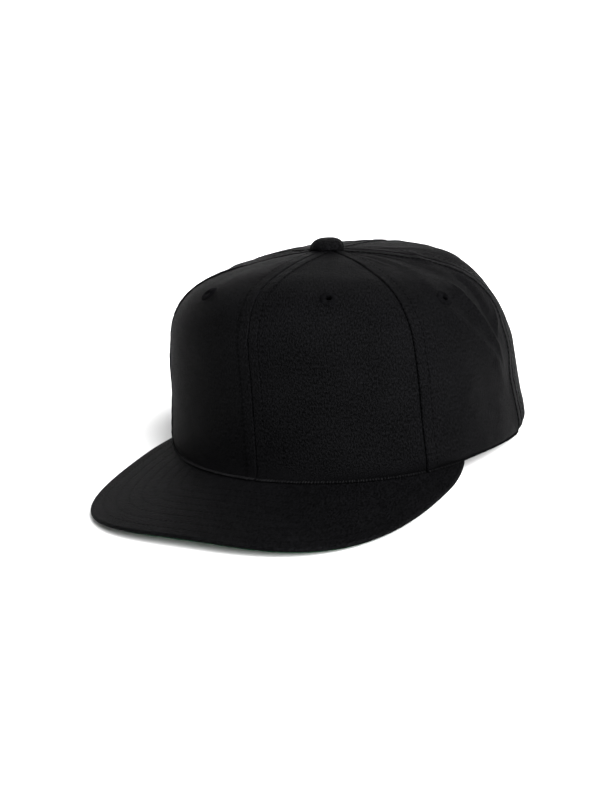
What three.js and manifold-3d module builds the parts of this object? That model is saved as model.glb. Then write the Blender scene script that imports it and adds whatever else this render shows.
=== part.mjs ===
// Six-panel snapback cap, standing on a table as it does when it is put down.
// Millimetres, +Z up, bill towards -Y, the wearer's left at +X.
// The cap rests on the two front corners of the bill and on the hem behind the ears.

import * as THREE from 'three';
import { mergeVertices } from 'three/addons/utils/BufferGeometryUtils.js';
import Module from 'manifold-3d';

const wasm = await Module();
wasm.setup();

// Crown: distances from the button's axis to the outside of the hem, and its height
const HEM_FRONT = 92.2;
const HEM_SIDE = 89.9;
const HEM_BACK = 95.2;
const CROWN_HEIGHT = 109.1;
const CROWN_LEAN_OFFSET = 2.3;
const PLAN_FRONT_POWER = 1.98;
const PLAN_BACK_POWER = 2.38;

// Cloth and clearances
const FRONT_CLOTH = 1.9;
const SOFT_CLOTH = 1.5;
const SEAM_GAP = 0.3;
const BAND_GAP = 0.6;

// Seams, as angles round the button's axis from the front, in degrees. The bill is sewn
// on as far as its end angle; the hem reaches the table at the hem's down angle.
const SIDE_SEAM_ANGLE = 54;
const BACK_SEAM_ANGLE = 110.5;
const BACK_MIDDLE_ANGLE = 180;
const BILL_END_ANGLE = 69.4;
const HEM_DOWN_ANGLE = 128.9;
const HEM_FALL_SHARE = 0.6;

// Bill
const BILL_LENGTH = 63.4;
const BILL_HALF_WIDTH = 89.7;
const BILL_OUTLINE_POWER = 3.2;
const BILL_ROOT_HEIGHT = 11.23;
const BILL_SLOPE = 4.55;
const BILL_CURL_RADIUS = 550;
const BILL_BOARD = 2.1;
const BILL_UNDER_CLOTH = 1.0;
const BILL_EDGE_RADIUS = 0.9;
const BILL_EDGE_SHARE = 0.3;
const BILL_UNDER_INSET = 0.5;
const BILL_INSET_LIMIT_SHARE = 0.3;
const BILL_CORNER_RUN = 30;

// Button on top
const BUTTON_RADIUS = 8.9;
const BUTTON_DOME = 4.6;
const BUTTON_RIM = 1.4;
const BUTTON_SEAT_SHARE = 0.94;
const BUTTON_FOLLOW_SHARE = 0.8;
const BUTTON_POST_RADIUS = 2;
const BUTTON_WASHER_RADIUS = 4.5;
const BUTTON_WASHER_THICKNESS = 0.9;

// Sewn eyelets
const EYELET_HOLE_RADIUS = 1.5;
const EYELET_SLEEVE_RADIUS = 2.4;
const EYELET_FLANGE_RADIUS = 4.3;
const EYELET_RISE = 0.9;
const EYELET_LIP_SHARE = 0.7;
const EYELET_SHOULDER_SHARE = 0.85;

// Sweatband, arch at the back and snap strap
const BAND_HEIGHT = 32;
const BAND_THICKNESS = 1.2;
const BAND_FLOOR_GAP = 0.6;
const BAND_RISE_ANGLE = 10;
const ARCH_HALF_WIDTH = 46;
const ARCH_HEIGHT = 49;
const ARCH_POWER = 2.2;
const STRAP_WIDTH = 20;
const STRAP_THICKNESS = 1.3;
const STRAP_FLOOR_GAP = 1.2;
const STRAP_TUCK = 14;
const STRAP_CORNER = 5;
const TONGUE_OVERLAP = 62;
const TONGUE_SEAT = 0.12;
const SNAP_COUNT = 7;
const SNAP_SPACING = 12.4;
const SNAP_RADIUS = 2.6;
const SNAP_HEIGHT = 1.6;
const SNAP_HOLE_RADIUS = 3;

// Sections of the crown from the hem to the button, evenly spaced up the cloth.
// front, side and back are shares of the hem's own distances from the axis;
// zFront, zSide and zBack are shares of the crown's height.
const RINGS = [
  { front: 1, side: 1, back: 1, zFront: 0, zSide: 0, zBack: 0 },
  { front: 0.98, side: 1.035, back: 1.109, zFront: 0.084, zSide: 0.069, zBack: 0.071 },
  { front: 0.97, side: 1.002, back: 1.099, zFront: 0.3, zSide: 0.3, zBack: 0.301 },
  { front: 0.958, side: 0.986, back: 0.994, zFront: 0.517, zSide: 0.52, zBack: 0.524 },
  { front: 0.941, side: 0.917, back: 0.828, zFront: 0.745, zSide: 0.724, zBack: 0.692 },
  { front: 0.799, side: 0.732, back: 0.65, zFront: 0.911, zSide: 0.864, zBack: 0.916 },
  { front: 0.448, side: 0.374, back: 0.453, zFront: 0.983, zSide: 0.958, zBack: 0.96 },
  { front: 0, side: 0, back: 0, zFront: 1, zSide: 1, zBack: 1 },
];

// Soft ridges (rise above 0) and hollows (rise below 0) in the unstiffened panels.
// Each runs from one place to another: angle in degrees, up is the share of the way
// from hem to button, width and rise are shares of the hem's side distance.
const FOLDS = [
  { name: 'ridge by the eyelet', angle: 97, up: 0.76, toAngle: 89, toUp: 0.46, width: 0.08, rise: 0.022 },
  { name: 'hollow behind it', angle: 104, up: 0.7, toAngle: 97, toUp: 0.5, width: 0.075, rise: -0.022 },
  { name: 'ridge to the back seam', angle: 89, up: 0.6, toAngle: 98, toUp: 0.36, width: 0.07, rise: 0.014 },
  { name: 'hollow over the ear', angle: 78, up: 0.42, toAngle: 84, toUp: 0.25, width: 0.2, rise: -0.016 },
  { name: 'left back slump', angle: 142, up: 0.74, toAngle: 160, toUp: 0.6, width: 0.14, rise: -0.014 },
  { name: 'left heel bulge', angle: 118, up: 0.17, toAngle: 138, toUp: 0.15, width: 0.1, rise: 0.012 },
  { name: 'right side ridge', angle: -96, up: 0.72, toAngle: -86, toUp: 0.44, width: 0.1, rise: 0.016 },
  { name: 'right side hollow', angle: -105, up: 0.62, toAngle: -97, toUp: 0.42, width: 0.09, rise: -0.018 },
  { name: 'right back slump', angle: -138, up: 0.72, toAngle: -158, toUp: 0.58, width: 0.14, rise: -0.014 },
  { name: 'right heel bulge', angle: -118, up: 0.17, toAngle: -138, toUp: 0.15, width: 0.1, rise: 0.012 },
  { name: 'pull of the strap', angle: 180, up: 0.08, toAngle: 180, toUp: 0.24, width: 0.55, rise: -0.09 },
];

// One row for each panel; angles in degrees, a negative angle is on the wearer's right
const PANELS = [
  { name: 'front_panel_left', from: 0, to: SIDE_SEAM_ANGLE, cloth: FRONT_CLOTH },
  { name: 'front_panel_right', from: -SIDE_SEAM_ANGLE, to: 0, cloth: FRONT_CLOTH },
  { name: 'side_panel_left', from: SIDE_SEAM_ANGLE, to: BACK_SEAM_ANGLE, cloth: SOFT_CLOTH },
  { name: 'side_panel_right', from: -BACK_SEAM_ANGLE, to: -SIDE_SEAM_ANGLE, cloth: SOFT_CLOTH },
  { name: 'back_panel_left', from: BACK_SEAM_ANGLE, to: BACK_MIDDLE_ANGLE, cloth: SOFT_CLOTH },
  { name: 'back_panel_right', from: -BACK_MIDDLE_ANGLE, to: -BACK_SEAM_ANGLE, cloth: SOFT_CLOTH },
];

// Each eyelet sits in one panel; across is the share of the panel's angle from its
// front seam, up is the share of the way from hem to button
const EYELETS = [
  { name: 'eyelet_front', panel: 'front_panel', across: 0.508, up: 0.705 },
  { name: 'eyelet_side', panel: 'side_panel', across: 0.363, up: 0.642 },
  { name: 'eyelet_back', panel: 'back_panel', across: 0.46, up: 0.66 },
];

// Fineness of the faceted surfaces
const PANEL_COLUMN_ANGLE = 6;
const PANEL_ROWS = 20;
const BILL_STEPS = 40;
const BILL_ROWS = 5;
const BAND_STEPS = 44;
const BAND_ROWS = 3;
const STRAP_STEPS = 16;
const ROUND_SIDES = 16;
const EYELET_SIDES = 14;
const BUTTON_SIDES = 24;
const BUTTON_DOME_STEPS = 6;
const ARCH_STEPS = 24;
const BISECTIONS = 40;
const NORMAL_STEP = 0.002;
const CUT_MARGIN = 6;

const degrees = THREE.MathUtils.degToRad;
const { clamp, lerp, smoothstep } = THREE.MathUtils;

// Uniform Catmull-Rom through the values of one named column, ends mirrored
function alongRings(column, t) {
  const last = RINGS.length - 1;
  const place = clamp(t * last, 0, last);
  const index = Math.min(Math.floor(place), last - 1);
  const u = place - index;
  const b = RINGS[index][column];
  const c = RINGS[index + 1][column];
  const a = index > 0 ? RINGS[index - 1][column] : 2 * b - c;
  const d = index + 2 <= last ? RINGS[index + 2][column] : 2 * c - b;
  const linear = (c - a) * u;
  const square = (2 * a - 5 * b + 4 * c - d) * u * u;
  const cubic = (3 * b - a - 3 * c + d) * u ** 3;
  return 0.5 * (2 * b + linear + square + cubic);
}

// Distance from the axis to a rounded plan outline at an angle from the front
function planRadius(angle, front, side, back) {
  const ahead = Math.cos(angle);
  const turn = smoothstep((1 - ahead) / 2, 0, 1);
  const power = lerp(PLAN_FRONT_POWER, PLAN_BACK_POWER, turn);
  const depth = ahead >= 0 ? front : back;
  const lengthwise = (Math.abs(ahead) / depth) ** power;
  const crosswise = (Math.abs(Math.sin(angle)) / side) ** power;
  return (lengthwise + crosswise) ** (-1 / power);
}

const hemRadius = (angle) => planRadius(angle, HEM_FRONT, HEM_SIDE, HEM_BACK);

function hemPoint(angle, inset = 0) {
  const radius = hemRadius(angle) - inset;
  return { x: radius * Math.sin(angle), y: -radius * Math.cos(angle) };
}

// Height of the bill's top, which slopes down forwards and curls down at its sides
function billHeight(x, y) {
  const forward = -y - HEM_FRONT;
  return BILL_ROOT_HEIGHT - Math.tan(degrees(BILL_SLOPE)) * forward - (x * x) / (2 * BILL_CURL_RADIUS);
}

// The hem stands on the bill in front and comes down to the table behind it
function hemHeight(angle) {
  const turned = Math.abs(angle);
  const end = degrees(BILL_END_ANGLE);
  const onBill = (a) => {
    const foot = hemPoint(a);
    return billHeight(foot.x, foot.y) + SEAM_GAP;
  };
  if (turned <= end) return onBill(turned);
  const span = degrees(HEM_DOWN_ANGLE) - end;
  const w = clamp((turned - end) / span, 0, 1);
  const slope = (onBill(end) - onBill(end - NORMAL_STEP)) / NORMAL_STEP;
  const fall = (2 * w ** 3 - 3 * w ** 2 + 1) * onBill(end);
  return fall + (w ** 3 - 2 * w ** 2 + w) * span * slope * HEM_FALL_SHARE;
}

function crownRadius(angle, t) {
  const front = alongRings('front', t) * HEM_FRONT;
  const side = alongRings('side', t) * HEM_SIDE;
  const back = alongRings('back', t) * HEM_BACK;
  return front > 0 ? planRadius(angle, front, side, back) : 0;
}

function smoothCrown(angle, t) {
  const radius = crownRadius(angle, t);
  const ahead = Math.max(Math.cos(angle), 0) ** 2;
  const behind = Math.max(-Math.cos(angle), 0) ** 2;
  const across = Math.sin(angle) ** 2;
  const share = alongRings('zFront', t) * ahead + alongRings('zSide', t) * across
    + alongRings('zBack', t) * behind;
  return new THREE.Vector3(
    radius * Math.sin(angle),
    -radius * Math.cos(angle) - CROWN_LEAN_OFFSET * t ** 3,
    share * CROWN_HEIGHT + hemHeight(angle) * (1 - t) ** 2,
  );
}

// Outward direction of the crown's cloth, by small steps round and up it
function crownNormal(angle, t) {
  const low = Math.max(t - NORMAL_STEP, 0);
  const high = Math.min(t + NORMAL_STEP, 1 - NORMAL_STEP);
  const up = smoothCrown(angle, high).sub(smoothCrown(angle, low));
  const round = smoothCrown(angle + NORMAL_STEP, t).sub(smoothCrown(angle - NORMAL_STEP, t));
  return round.cross(up).normalize();
}

// Length of cloth from hem to button, which turns shares of the way up into lengths
const SIDE_CLOTH_LENGTH = (() => {
  const steps = RINGS.length * RINGS.length;
  let length = 0;
  for (let i = 0; i < steps; i += 1) {
    const here = smoothCrown(Math.PI / 2, i / steps);
    length += here.distanceTo(smoothCrown(Math.PI / 2, (i + 1) / steps));
  }
  return length;
})();

const shortTurn = (angle) => Math.atan2(Math.sin(angle), Math.cos(angle));

// Rise of all the folds at one place: a rounded ridge that dies out at both ends
function foldRise(angle, t) {
  let rise = 0;
  for (const fold of FOLDS) {
    const length = degrees(fold.toAngle - fold.angle) * HEM_SIDE;
    const along = new THREE.Vector2(length, (fold.toUp - fold.up) * SIDE_CLOTH_LENGTH);
    const turned = shortTurn(angle - degrees(fold.angle)) * HEM_SIDE;
    const here = new THREE.Vector2(turned, (t - fold.up) * SIDE_CLOTH_LENGTH);
    const share = clamp(here.dot(along) / along.lengthSq(), 0, 1);
    const distance = here.distanceTo(along.multiplyScalar(share));
    const reach = distance / (fold.width * HEM_SIDE);
    rise += fold.rise * HEM_SIDE * Math.exp(-reach * reach);
  }
  return rise;
}

// A point of the crown at a depth below its outside; the hem's own foot is kept level
function crownPoint(angle, t, depth = 0) {
  const point = smoothCrown(angle, t);
  const normal = crownNormal(angle, t);
  if (t <= 0) normal.setZ(0).normalize();
  const rise = foldRise(angle, t) * smoothstep(t, 0, 1 / RINGS.length);
  return point.addScaledVector(normal, rise - depth);
}

// The share of the way up at which a test that holds at the low end first fails
function lastWhere(low, high, holds) {
  for (let i = 0; i < BISECTIONS; i += 1) {
    const middle = (low + high) / 2;
    if (holds(middle)) low = middle;
    else high = middle;
  }
  return low;
}

const lastRing = (RINGS.length - 2) / (RINGS.length - 1);
const upAtRadius = (angle, radius) => lastWhere(lastRing, 1, (t) => crownRadius(angle, t) > radius);
const upAtHeight = (angle, height) => lastWhere(0, lastRing, (t) => smoothCrown(angle, t).z < height);

// One closed body from a loop of points swept through stations, both ends capped
function sweptBody(stations) {
  const around = stations[0].length;
  const positions = stations.flat().flatMap((point) => [point.x, point.y, point.z]);
  const indices = [];
  for (let s = 0; s < stations.length - 1; s += 1) {
    for (let k = 0; k < around; k += 1) {
      const a = s * around + k;
      const b = s * around + ((k + 1) % around);
      indices.push(a, b, a + around, b, b + around, a + around);
    }
  }
  const half = around / 2;
  const end = (stations.length - 1) * around;
  for (let k = 0; k < half - 1; k += 1) {
    const far = around - 1 - k;
    indices.push(k, far, k + 1, k + 1, far, far - 1);
    indices.push(end + k, end + k + 1, end + far, end + k + 1, end + far - 1, end + far);
  }
  return geometryFrom(positions, indices);
}

function geometryFrom(positions, indices) {
  const geometry = new THREE.BufferGeometry();
  geometry.setAttribute('position', new THREE.Float32BufferAttribute(positions, 3));
  geometry.setIndex(indices);
  geometry.computeVertexNormals();
  return geometry;
}

// A ring of loops swept all the way round, as for an eyelet
function ringBody(loops) {
  const around = loops[0].length;
  const positions = loops.flat().flatMap((point) => [point.x, point.y, point.z]);
  const indices = [];
  for (let s = 0; s < loops.length; s += 1) {
    const next = (s + 1) % loops.length;
    for (let k = 0; k < around; k += 1) {
      const a = s * around + k;
      const b = s * around + ((k + 1) % around);
      const c = next * around + k;
      const d = next * around + ((k + 1) % around);
      indices.push(a, b, c, b, d, c);
    }
  }
  return geometryFrom(positions, indices);
}

// Joins and cuts
function solidOf(geometry) {
  const bare = geometry.clone();
  bare.deleteAttribute('normal');
  bare.deleteAttribute('uv');
  const merged = mergeVertices(bare);
  return new wasm.Manifold(new wasm.Mesh({
    numProp: 3,
    vertProperties: new Float32Array(merged.attributes.position.array),
    triVerts: new Uint32Array(merged.index.array),
  }));
}

function geometryOf(solid) {
  const mesh = solid.getMesh();
  return geometryFrom(Array.from(mesh.vertProperties), Array.from(mesh.triVerts));
}

const shift = (geometry, x, y, z) => geometry.clone().translate(x, y, z);

// Materials
function cloth(color, roughness) {
  return new THREE.MeshStandardMaterial({ color, roughness, metalness: 0 });
}

const BLACK_TWILL = cloth(0x141416, 0.9);
const BLACK_THREAD = cloth(0x1b1b1e, 0.75);
const GREEN_CLOTH = cloth(0x2f6a3c, 0.85);
const BAND_COTTON = cloth(0x18181a, 0.95);
const STRAP_PLASTIC = cloth(0x121214, 0.45);

function piece(name, geometry, material) {
  const mesh = new THREE.Mesh(geometry, material.clone());
  mesh.name = name;
  return mesh;
}

// A panel runs from seam to seam and from the hem to the button's post
function panelBody(panel) {
  const columns = Math.round((panel.to - panel.from) / PANEL_COLUMN_ANGLE);
  const stations = [];
  for (let i = 0; i <= columns; i += 1) {
    const middle = degrees(lerp(panel.from, panel.to, i / columns));
    const side = i === 0 ? 1 : i === columns ? -1 : 0;
    const top = upAtRadius(middle, BUTTON_POST_RADIUS + SEAM_GAP);
    const outside = [];
    const inside = [];
    for (let j = 0; j <= PANEL_ROWS; j += 1) {
      const t = (top * j) / PANEL_ROWS;
      const angle = middle + (side * SEAM_GAP) / 2 / crownRadius(middle, t);
      outside.push(crownPoint(angle, t));
      inside.unshift(crownPoint(angle, t, panel.cloth));
    }
    stations.push([...inside.reverse(), ...outside.reverse()]);
  }
  return sweptBody(stations);
}

// The rounded cut-out over the strap, right through both back panels
function archCutter() {
  const outline = [];
  for (let i = 0; i <= ARCH_STEPS; i += 1) {
    const turn = (Math.PI * i) / ARCH_STEPS;
    const across = Math.abs(Math.cos(turn)) ** (2 / ARCH_POWER) * Math.sign(Math.cos(turn));
    const up = Math.sin(turn) ** (2 / ARCH_POWER);
    outline.push(new THREE.Vector2(ARCH_HALF_WIDTH * across, ARCH_HEIGHT * up));
  }
  outline.push(new THREE.Vector2(-ARCH_HALF_WIDTH, -CUT_MARGIN));
  outline.push(new THREE.Vector2(ARCH_HALF_WIDTH, -CUT_MARGIN));
  const depth = HEM_BACK * RINGS[1].back;
  const geometry = new THREE.ExtrudeGeometry(new THREE.Shape(outline), { depth, bevelEnabled: false });
  return geometry.rotateX(Math.PI / 2).translate(0, depth + HEM_BACK / 2, 0);
}

function eyeletPlaces() {
  return EYELETS.flatMap((row) => ['left', 'right'].map((hand) => {
    const panel = PANELS.find((p) => p.name === `${row.panel}_${hand}`);
    const share = hand === 'left' ? row.across : 1 - row.across;
    return {
      name: `${row.name}_${hand}`,
      panel,
      angle: degrees(lerp(panel.from, panel.to, share)),
      up: row.up,
    };
  }));
}

// A round hole for an eyelet's sleeve, square to the cloth
function eyeletCutter(place) {
  const radius = EYELET_SLEEVE_RADIUS + SEAM_GAP;
  const geometry = new THREE.CylinderGeometry(radius, radius, 2 * CUT_MARGIN, ROUND_SIDES);
  const upright = new THREE.Vector3(0, 1, 0);
  const turn = new THREE.Quaternion().setFromUnitVectors(upright, crownNormal(place.angle, place.up));
  const centre = crownPoint(place.angle, place.up, place.panel.cloth / 2);
  return geometry.applyQuaternion(turn).translate(centre.x, centre.y, centre.z);
}

// A sewn eyelet: a raised flange on the cloth and a sleeve through it
function eyeletBody(place) {
  const normal = crownNormal(place.angle, place.up);
  const centre = crownPoint(place.angle, place.up);
  const round = crownPoint(place.angle + NORMAL_STEP, place.up).sub(centre).projectOnPlane(normal);
  const roundRate = round.length() / NORMAL_STEP;
  round.normalize();
  const upwards = normal.clone().cross(round);
  const stepUp = crownPoint(place.angle, place.up + NORMAL_STEP).sub(centre);
  const upRate = stepUp.length() / NORMAL_STEP;
  const skew = stepUp.dot(round) / NORMAL_STEP;
  const below = -place.panel.cloth - SEAM_GAP;
  const seat = SEAM_GAP;
  const section = [
    { out: EYELET_HOLE_RADIUS, height: below },
    { out: EYELET_HOLE_RADIUS, height: EYELET_RISE * EYELET_LIP_SHARE },
    { out: EYELET_SLEEVE_RADIUS, height: EYELET_RISE + seat },
    { out: EYELET_FLANGE_RADIUS * EYELET_SHOULDER_SHARE, height: EYELET_RISE * EYELET_LIP_SHARE + seat },
    { out: EYELET_FLANGE_RADIUS, height: seat + SEAM_GAP / 2 },
    { out: EYELET_SLEEVE_RADIUS, height: seat },
    { out: EYELET_SLEEVE_RADIUS, height: below },
  ];
  const loops = [];
  for (let i = 0; i < EYELET_SIDES; i += 1) {
    const turn = (2 * Math.PI * i) / EYELET_SIDES;
    loops.push(section.map(({ out, height }) => {
      if (out <= EYELET_SLEEVE_RADIUS) {
        return centre.clone()
          .addScaledVector(round, out * Math.cos(turn))
          .addScaledVector(upwards, out * Math.sin(turn))
          .addScaledVector(normal, height);
      }
      const up = (out * Math.sin(turn)) / upRate;
      const angle = (out * Math.cos(turn) - skew * up) / roundRate;
      return crownPoint(place.angle + angle, place.up + up, -height);
    }));
  }
  return ringBody(loops);
}

function crownPieces() {
  const arch = solidOf(archCutter());
  const places = eyeletPlaces();
  const panels = PANELS.map((panel) => {
    let solid = solidOf(panelBody(panel));
    for (const place of places.filter((p) => p.panel === panel)) {
      solid = solid.subtract(solidOf(eyeletCutter(place)));
    }
    if (panel.name.startsWith('back')) solid = solid.subtract(arch);
    return piece(panel.name, geometryOf(solid), BLACK_TWILL);
  });
  const eyelets = places.map((place) => piece(place.name, eyeletBody(place), BLACK_THREAD));
  return [...panels, ...eyelets];
}

// The covered button is seated on the crown; its post and washer hold it from inside
function buttonPiece() {
  const apex = smoothCrown(0, 1);
  const thick = Math.max(FRONT_CLOTH, SOFT_CLOTH) + 2 * SEAM_GAP;
  const profile = [
    { out: BUTTON_WASHER_RADIUS, height: -thick - BUTTON_WASHER_THICKNESS, follow: 1 },
    { out: BUTTON_WASHER_RADIUS, height: -thick, follow: 1 },
    { out: BUTTON_POST_RADIUS, height: -thick, follow: 1 },
    { out: BUTTON_POST_RADIUS, height: SEAM_GAP, follow: 1 },
    { out: BUTTON_RADIUS * BUTTON_SEAT_SHARE, height: SEAM_GAP, follow: 1 },
    { out: BUTTON_RADIUS, height: BUTTON_RIM, follow: BUTTON_FOLLOW_SHARE },
  ];
  for (let i = 1; i < BUTTON_DOME_STEPS; i += 1) {
    const turn = (Math.PI / 2) * (i / BUTTON_DOME_STEPS);
    const height = lerp(BUTTON_RIM, BUTTON_DOME, Math.sin(turn));
    const follow = BUTTON_FOLLOW_SHARE * (1 - Math.sin(turn));
    profile.push({ out: BUTTON_RADIUS * Math.cos(turn), height, follow });
  }
  const positions = [apex.x, apex.y, apex.z - thick - BUTTON_WASHER_THICKNESS];
  for (const { out, height, follow } of profile) {
    for (let k = 0; k < BUTTON_SIDES; k += 1) {
      const angle = (2 * Math.PI * k) / BUTTON_SIDES;
      const drop = smoothCrown(angle, upAtRadius(angle, out)).z - apex.z;
      const level = apex.z + height + follow * drop;
      positions.push(apex.x + out * Math.sin(angle), apex.y - out * Math.cos(angle), level);
    }
  }
  positions.push(apex.x, apex.y, apex.z + BUTTON_DOME);
  const top = positions.length / 3 - 1;
  const indices = [];
  const vertex = (row, k) => 1 + row * BUTTON_SIDES + (k % BUTTON_SIDES);
  for (let k = 0; k < BUTTON_SIDES; k += 1) {
    indices.push(0, vertex(0, k + 1), vertex(0, k));
    for (let row = 0; row < profile.length - 1; row += 1) {
      indices.push(vertex(row, k), vertex(row, k + 1), vertex(row + 1, k));
      indices.push(vertex(row, k + 1), vertex(row + 1, k + 1), vertex(row + 1, k));
    }
    indices.push(top, vertex(profile.length - 1, k), vertex(profile.length - 1, k + 1));
  }
  return piece('crown_button', geometryFrom(positions, indices), BLACK_TWILL);
}

// Outer edge of the bill at a turn from straight ahead, -1 to 1 from side to side
function billEdge(turn) {
  const end = hemPoint(degrees(BILL_END_ANGLE));
  const reach = HEM_FRONT + BILL_LENGTH + end.y;
  const angle = (turn * Math.PI) / 2;
  const across = (Math.abs(Math.sin(angle)) / BILL_HALF_WIDTH) ** BILL_OUTLINE_POWER;
  const ahead = (Math.abs(Math.cos(angle)) / reach) ** BILL_OUTLINE_POWER;
  const radius = (across + ahead) ** (-1 / BILL_OUTLINE_POWER);
  const forward = radius * Math.cos(angle);
  const corner = clamp(1 - forward / BILL_CORNER_RUN, 0, 1) ** 2;
  const x = radius * Math.sin(angle) - Math.sign(turn) * corner * (BILL_HALF_WIDTH - end.x);
  return new THREE.Vector2(x, end.y - forward);
}

// A point of the bill between its root on the hem (0) and its edge (1), edge inset in mm
function billPoint(turn, share, edgeInset, drop) {
  const foot = hemPoint(turn * degrees(BILL_END_ANGLE), FRONT_CLOTH);
  const root = new THREE.Vector2(foot.x, foot.y);
  const edge = billEdge(turn);
  const width = root.distanceTo(edge);
  const inset = Math.min(edgeInset / width, BILL_INSET_LIMIT_SHARE);
  const place = root.lerp(edge, share * (1 - inset));
  return new THREE.Vector3(place.x, place.y, billHeight(place.x, place.y) - drop);
}

// A slab of the bill between two depths, with its outer edge rounded where it shows
function billSlab(upper, lower, inset, edgeRadius) {
  const stations = [];
  const edge = [
    { inset: inset + edgeRadius, drop: upper },
    { inset: inset + edgeRadius * BILL_EDGE_SHARE, drop: upper + edgeRadius * BILL_EDGE_SHARE },
  ];
  for (let i = 0; i <= BILL_STEPS; i += 1) {
    const turn = lerp(-1, 1, i / BILL_STEPS);
    const top = [];
    const bottom = [];
    for (let j = 0; j < BILL_ROWS; j += 1) {
      const share = j / BILL_ROWS;
      top.push(billPoint(turn, share, inset + edgeRadius, upper));
      bottom.unshift(billPoint(turn, share, inset + edgeRadius, lower));
    }
    const rim = edge.map((row) => billPoint(turn, 1, row.inset, row.drop));
    const foot = [
      billPoint(turn, 1, inset, lower),
      billPoint(turn, 1, inset + edgeRadius, lower),
    ];
    stations.push([...top, ...rim, ...foot, ...bottom]);
  }
  return sweptBody(stations);
}

function billPieces() {
  const underTop = BILL_BOARD + SEAM_GAP;
  const top = billSlab(0, BILL_BOARD, 0, BILL_EDGE_RADIUS);
  const under = billSlab(underTop, underTop + BILL_UNDER_CLOTH, BILL_UNDER_INSET, BILL_UNDER_INSET);
  return [piece('bill_top', top, BLACK_TWILL), piece('bill_under', under, GREEN_CLOTH)];
}

const archAngle = () => Math.PI - Math.asin(ARCH_HALF_WIDTH / HEM_BACK);

// The sweatband stands inside the hem from one side of the arch to the other
function sweatbandPiece() {
  const reach = archAngle();
  const insideCloth = FRONT_CLOTH + BAND_GAP;
  const insideStrap = SOFT_CLOTH + SEAM_GAP + 2 * STRAP_THICKNESS + BAND_GAP;
  const strapStart = reach - STRAP_TUCK / HEM_BACK - degrees(PANEL_COLUMN_ANGLE);
  const billDepth = BILL_BOARD + SEAM_GAP + BILL_UNDER_CLOTH;
  const stations = [];
  for (let i = 0; i <= BAND_STEPS; i += 1) {
    const angle = lerp(-reach, reach, i / BAND_STEPS);
    const turned = Math.abs(angle);
    const tucked = smoothstep(turned, strapStart - degrees(PANEL_COLUMN_ANGLE), strapStart);
    const inset = lerp(insideCloth, insideStrap, tucked);
    const behind = smoothstep(turned, degrees(BILL_END_ANGLE - BAND_RISE_ANGLE), degrees(BILL_END_ANGLE));
    const foot = hemHeight(angle) + lerp(-SEAM_GAP - billDepth, BAND_FLOOR_GAP, behind);
    const outside = [];
    const inside = [];
    for (let j = 0; j <= BAND_ROWS; j += 1) {
      const height = lerp(foot, BAND_HEIGHT, j / BAND_ROWS);
      const t = upAtHeight(angle, height);
      const wall = Math.min(crownRadius(angle, t), hemRadius(angle)) - inset;
      const at = (radius) => new THREE.Vector3(radius * Math.sin(angle), -radius * Math.cos(angle), height);
      outside.push(at(wall));
      inside.unshift(at(wall - BAND_THICKNESS));
    }
    stations.push([...inside.reverse(), ...outside.reverse()]);
  }
  return piece('sweatband', sweptBody(stations), BAND_COTTON);
}

// The strap's place along the back: distance round from the middle, and depth inside the hem
function strapPoint(along, depth, height) {
  const angle = Math.PI + along / HEM_BACK;
  const foot = hemPoint(angle, SOFT_CLOTH + SEAM_GAP + STRAP_THICKNESS + depth);
  return new THREE.Vector3(foot.x, foot.y, height);
}

// A band along the strap from one distance to another, with cut corners at its ends
function strapBand(from, to, outer, inner) {
  const stations = [];
  for (let i = 0; i <= STRAP_STEPS; i += 1) {
    const along = lerp(from, to, i / STRAP_STEPS);
    const toEnd = Math.min(along - from, to - along);
    const rounding = clamp(1 - toEnd / STRAP_CORNER, 0, 1);
    const trim = STRAP_CORNER * (1 - Math.sqrt(1 - rounding * rounding));
    const low = STRAP_FLOOR_GAP + trim;
    const high = STRAP_FLOOR_GAP + STRAP_WIDTH - trim;
    stations.push([
      strapPoint(along, inner, low),
      strapPoint(along, inner, high),
      strapPoint(along, outer, high),
      strapPoint(along, outer, low),
    ]);
  }
  return sweptBody(stations);
}

// Two tongues lie one over the other with their studs pressed home: one solid
function strapPiece() {
  const reach = (Math.PI - archAngle()) * HEM_BACK + STRAP_TUCK;
  const overlap = TONGUE_OVERLAP / 2;
  let solid = solidOf(strapBand(-reach, overlap, 0, STRAP_THICKNESS));
  solid = solid.add(solidOf(strapBand(-overlap, reach, -STRAP_THICKNESS, TONGUE_SEAT)));
  const middle = STRAP_FLOOR_GAP + STRAP_WIDTH / 2;
  for (let i = 0; i < SNAP_COUNT; i += 1) {
    const along = (i - (SNAP_COUNT - 1) / 2) * SNAP_SPACING;
    const snapped = Math.abs(along) < overlap - SNAP_HOLE_RADIUS;
    const outward = strapPoint(along, -1, middle).sub(strapPoint(along, 0, middle));
    const turn = new THREE.Quaternion().setFromUnitVectors(new THREE.Vector3(0, 1, 0), outward);
    const round = (radius, length, depth) => {
      const centre = strapPoint(along, depth, middle);
      const geometry = new THREE.CylinderGeometry(radius, radius, length, ROUND_SIDES);
      return solidOf(geometry.applyQuaternion(turn).translate(centre.x, centre.y, centre.z));
    };
    if (snapped) {
      solid = solid.add(round(SNAP_RADIUS, SNAP_HEIGHT, -STRAP_THICKNESS - SNAP_HEIGHT / 4));
    } else if (along > 0) {
      solid = solid.subtract(round(SNAP_HOLE_RADIUS, CUT_MARGIN, 0));
    } else {
      solid = solid.add(round(SNAP_RADIUS, SNAP_HEIGHT, -SNAP_HEIGHT / 4));
    }
  }
  return piece('snap_strap', geometryOf(solid), STRAP_PLASTIC);
}

const cap = new THREE.Group();
cap.add(...crownPieces(), buttonPiece(), ...billPieces(), sweatbandPiece(), strapPiece());

// Origin on the table, under the middle of the cap
const box = new THREE.Box3().setFromObject(cap);
const middle = box.getCenter(new THREE.Vector3());
cap.position.set(-middle.x, -middle.y, -box.min.z);

export default cap;
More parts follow.
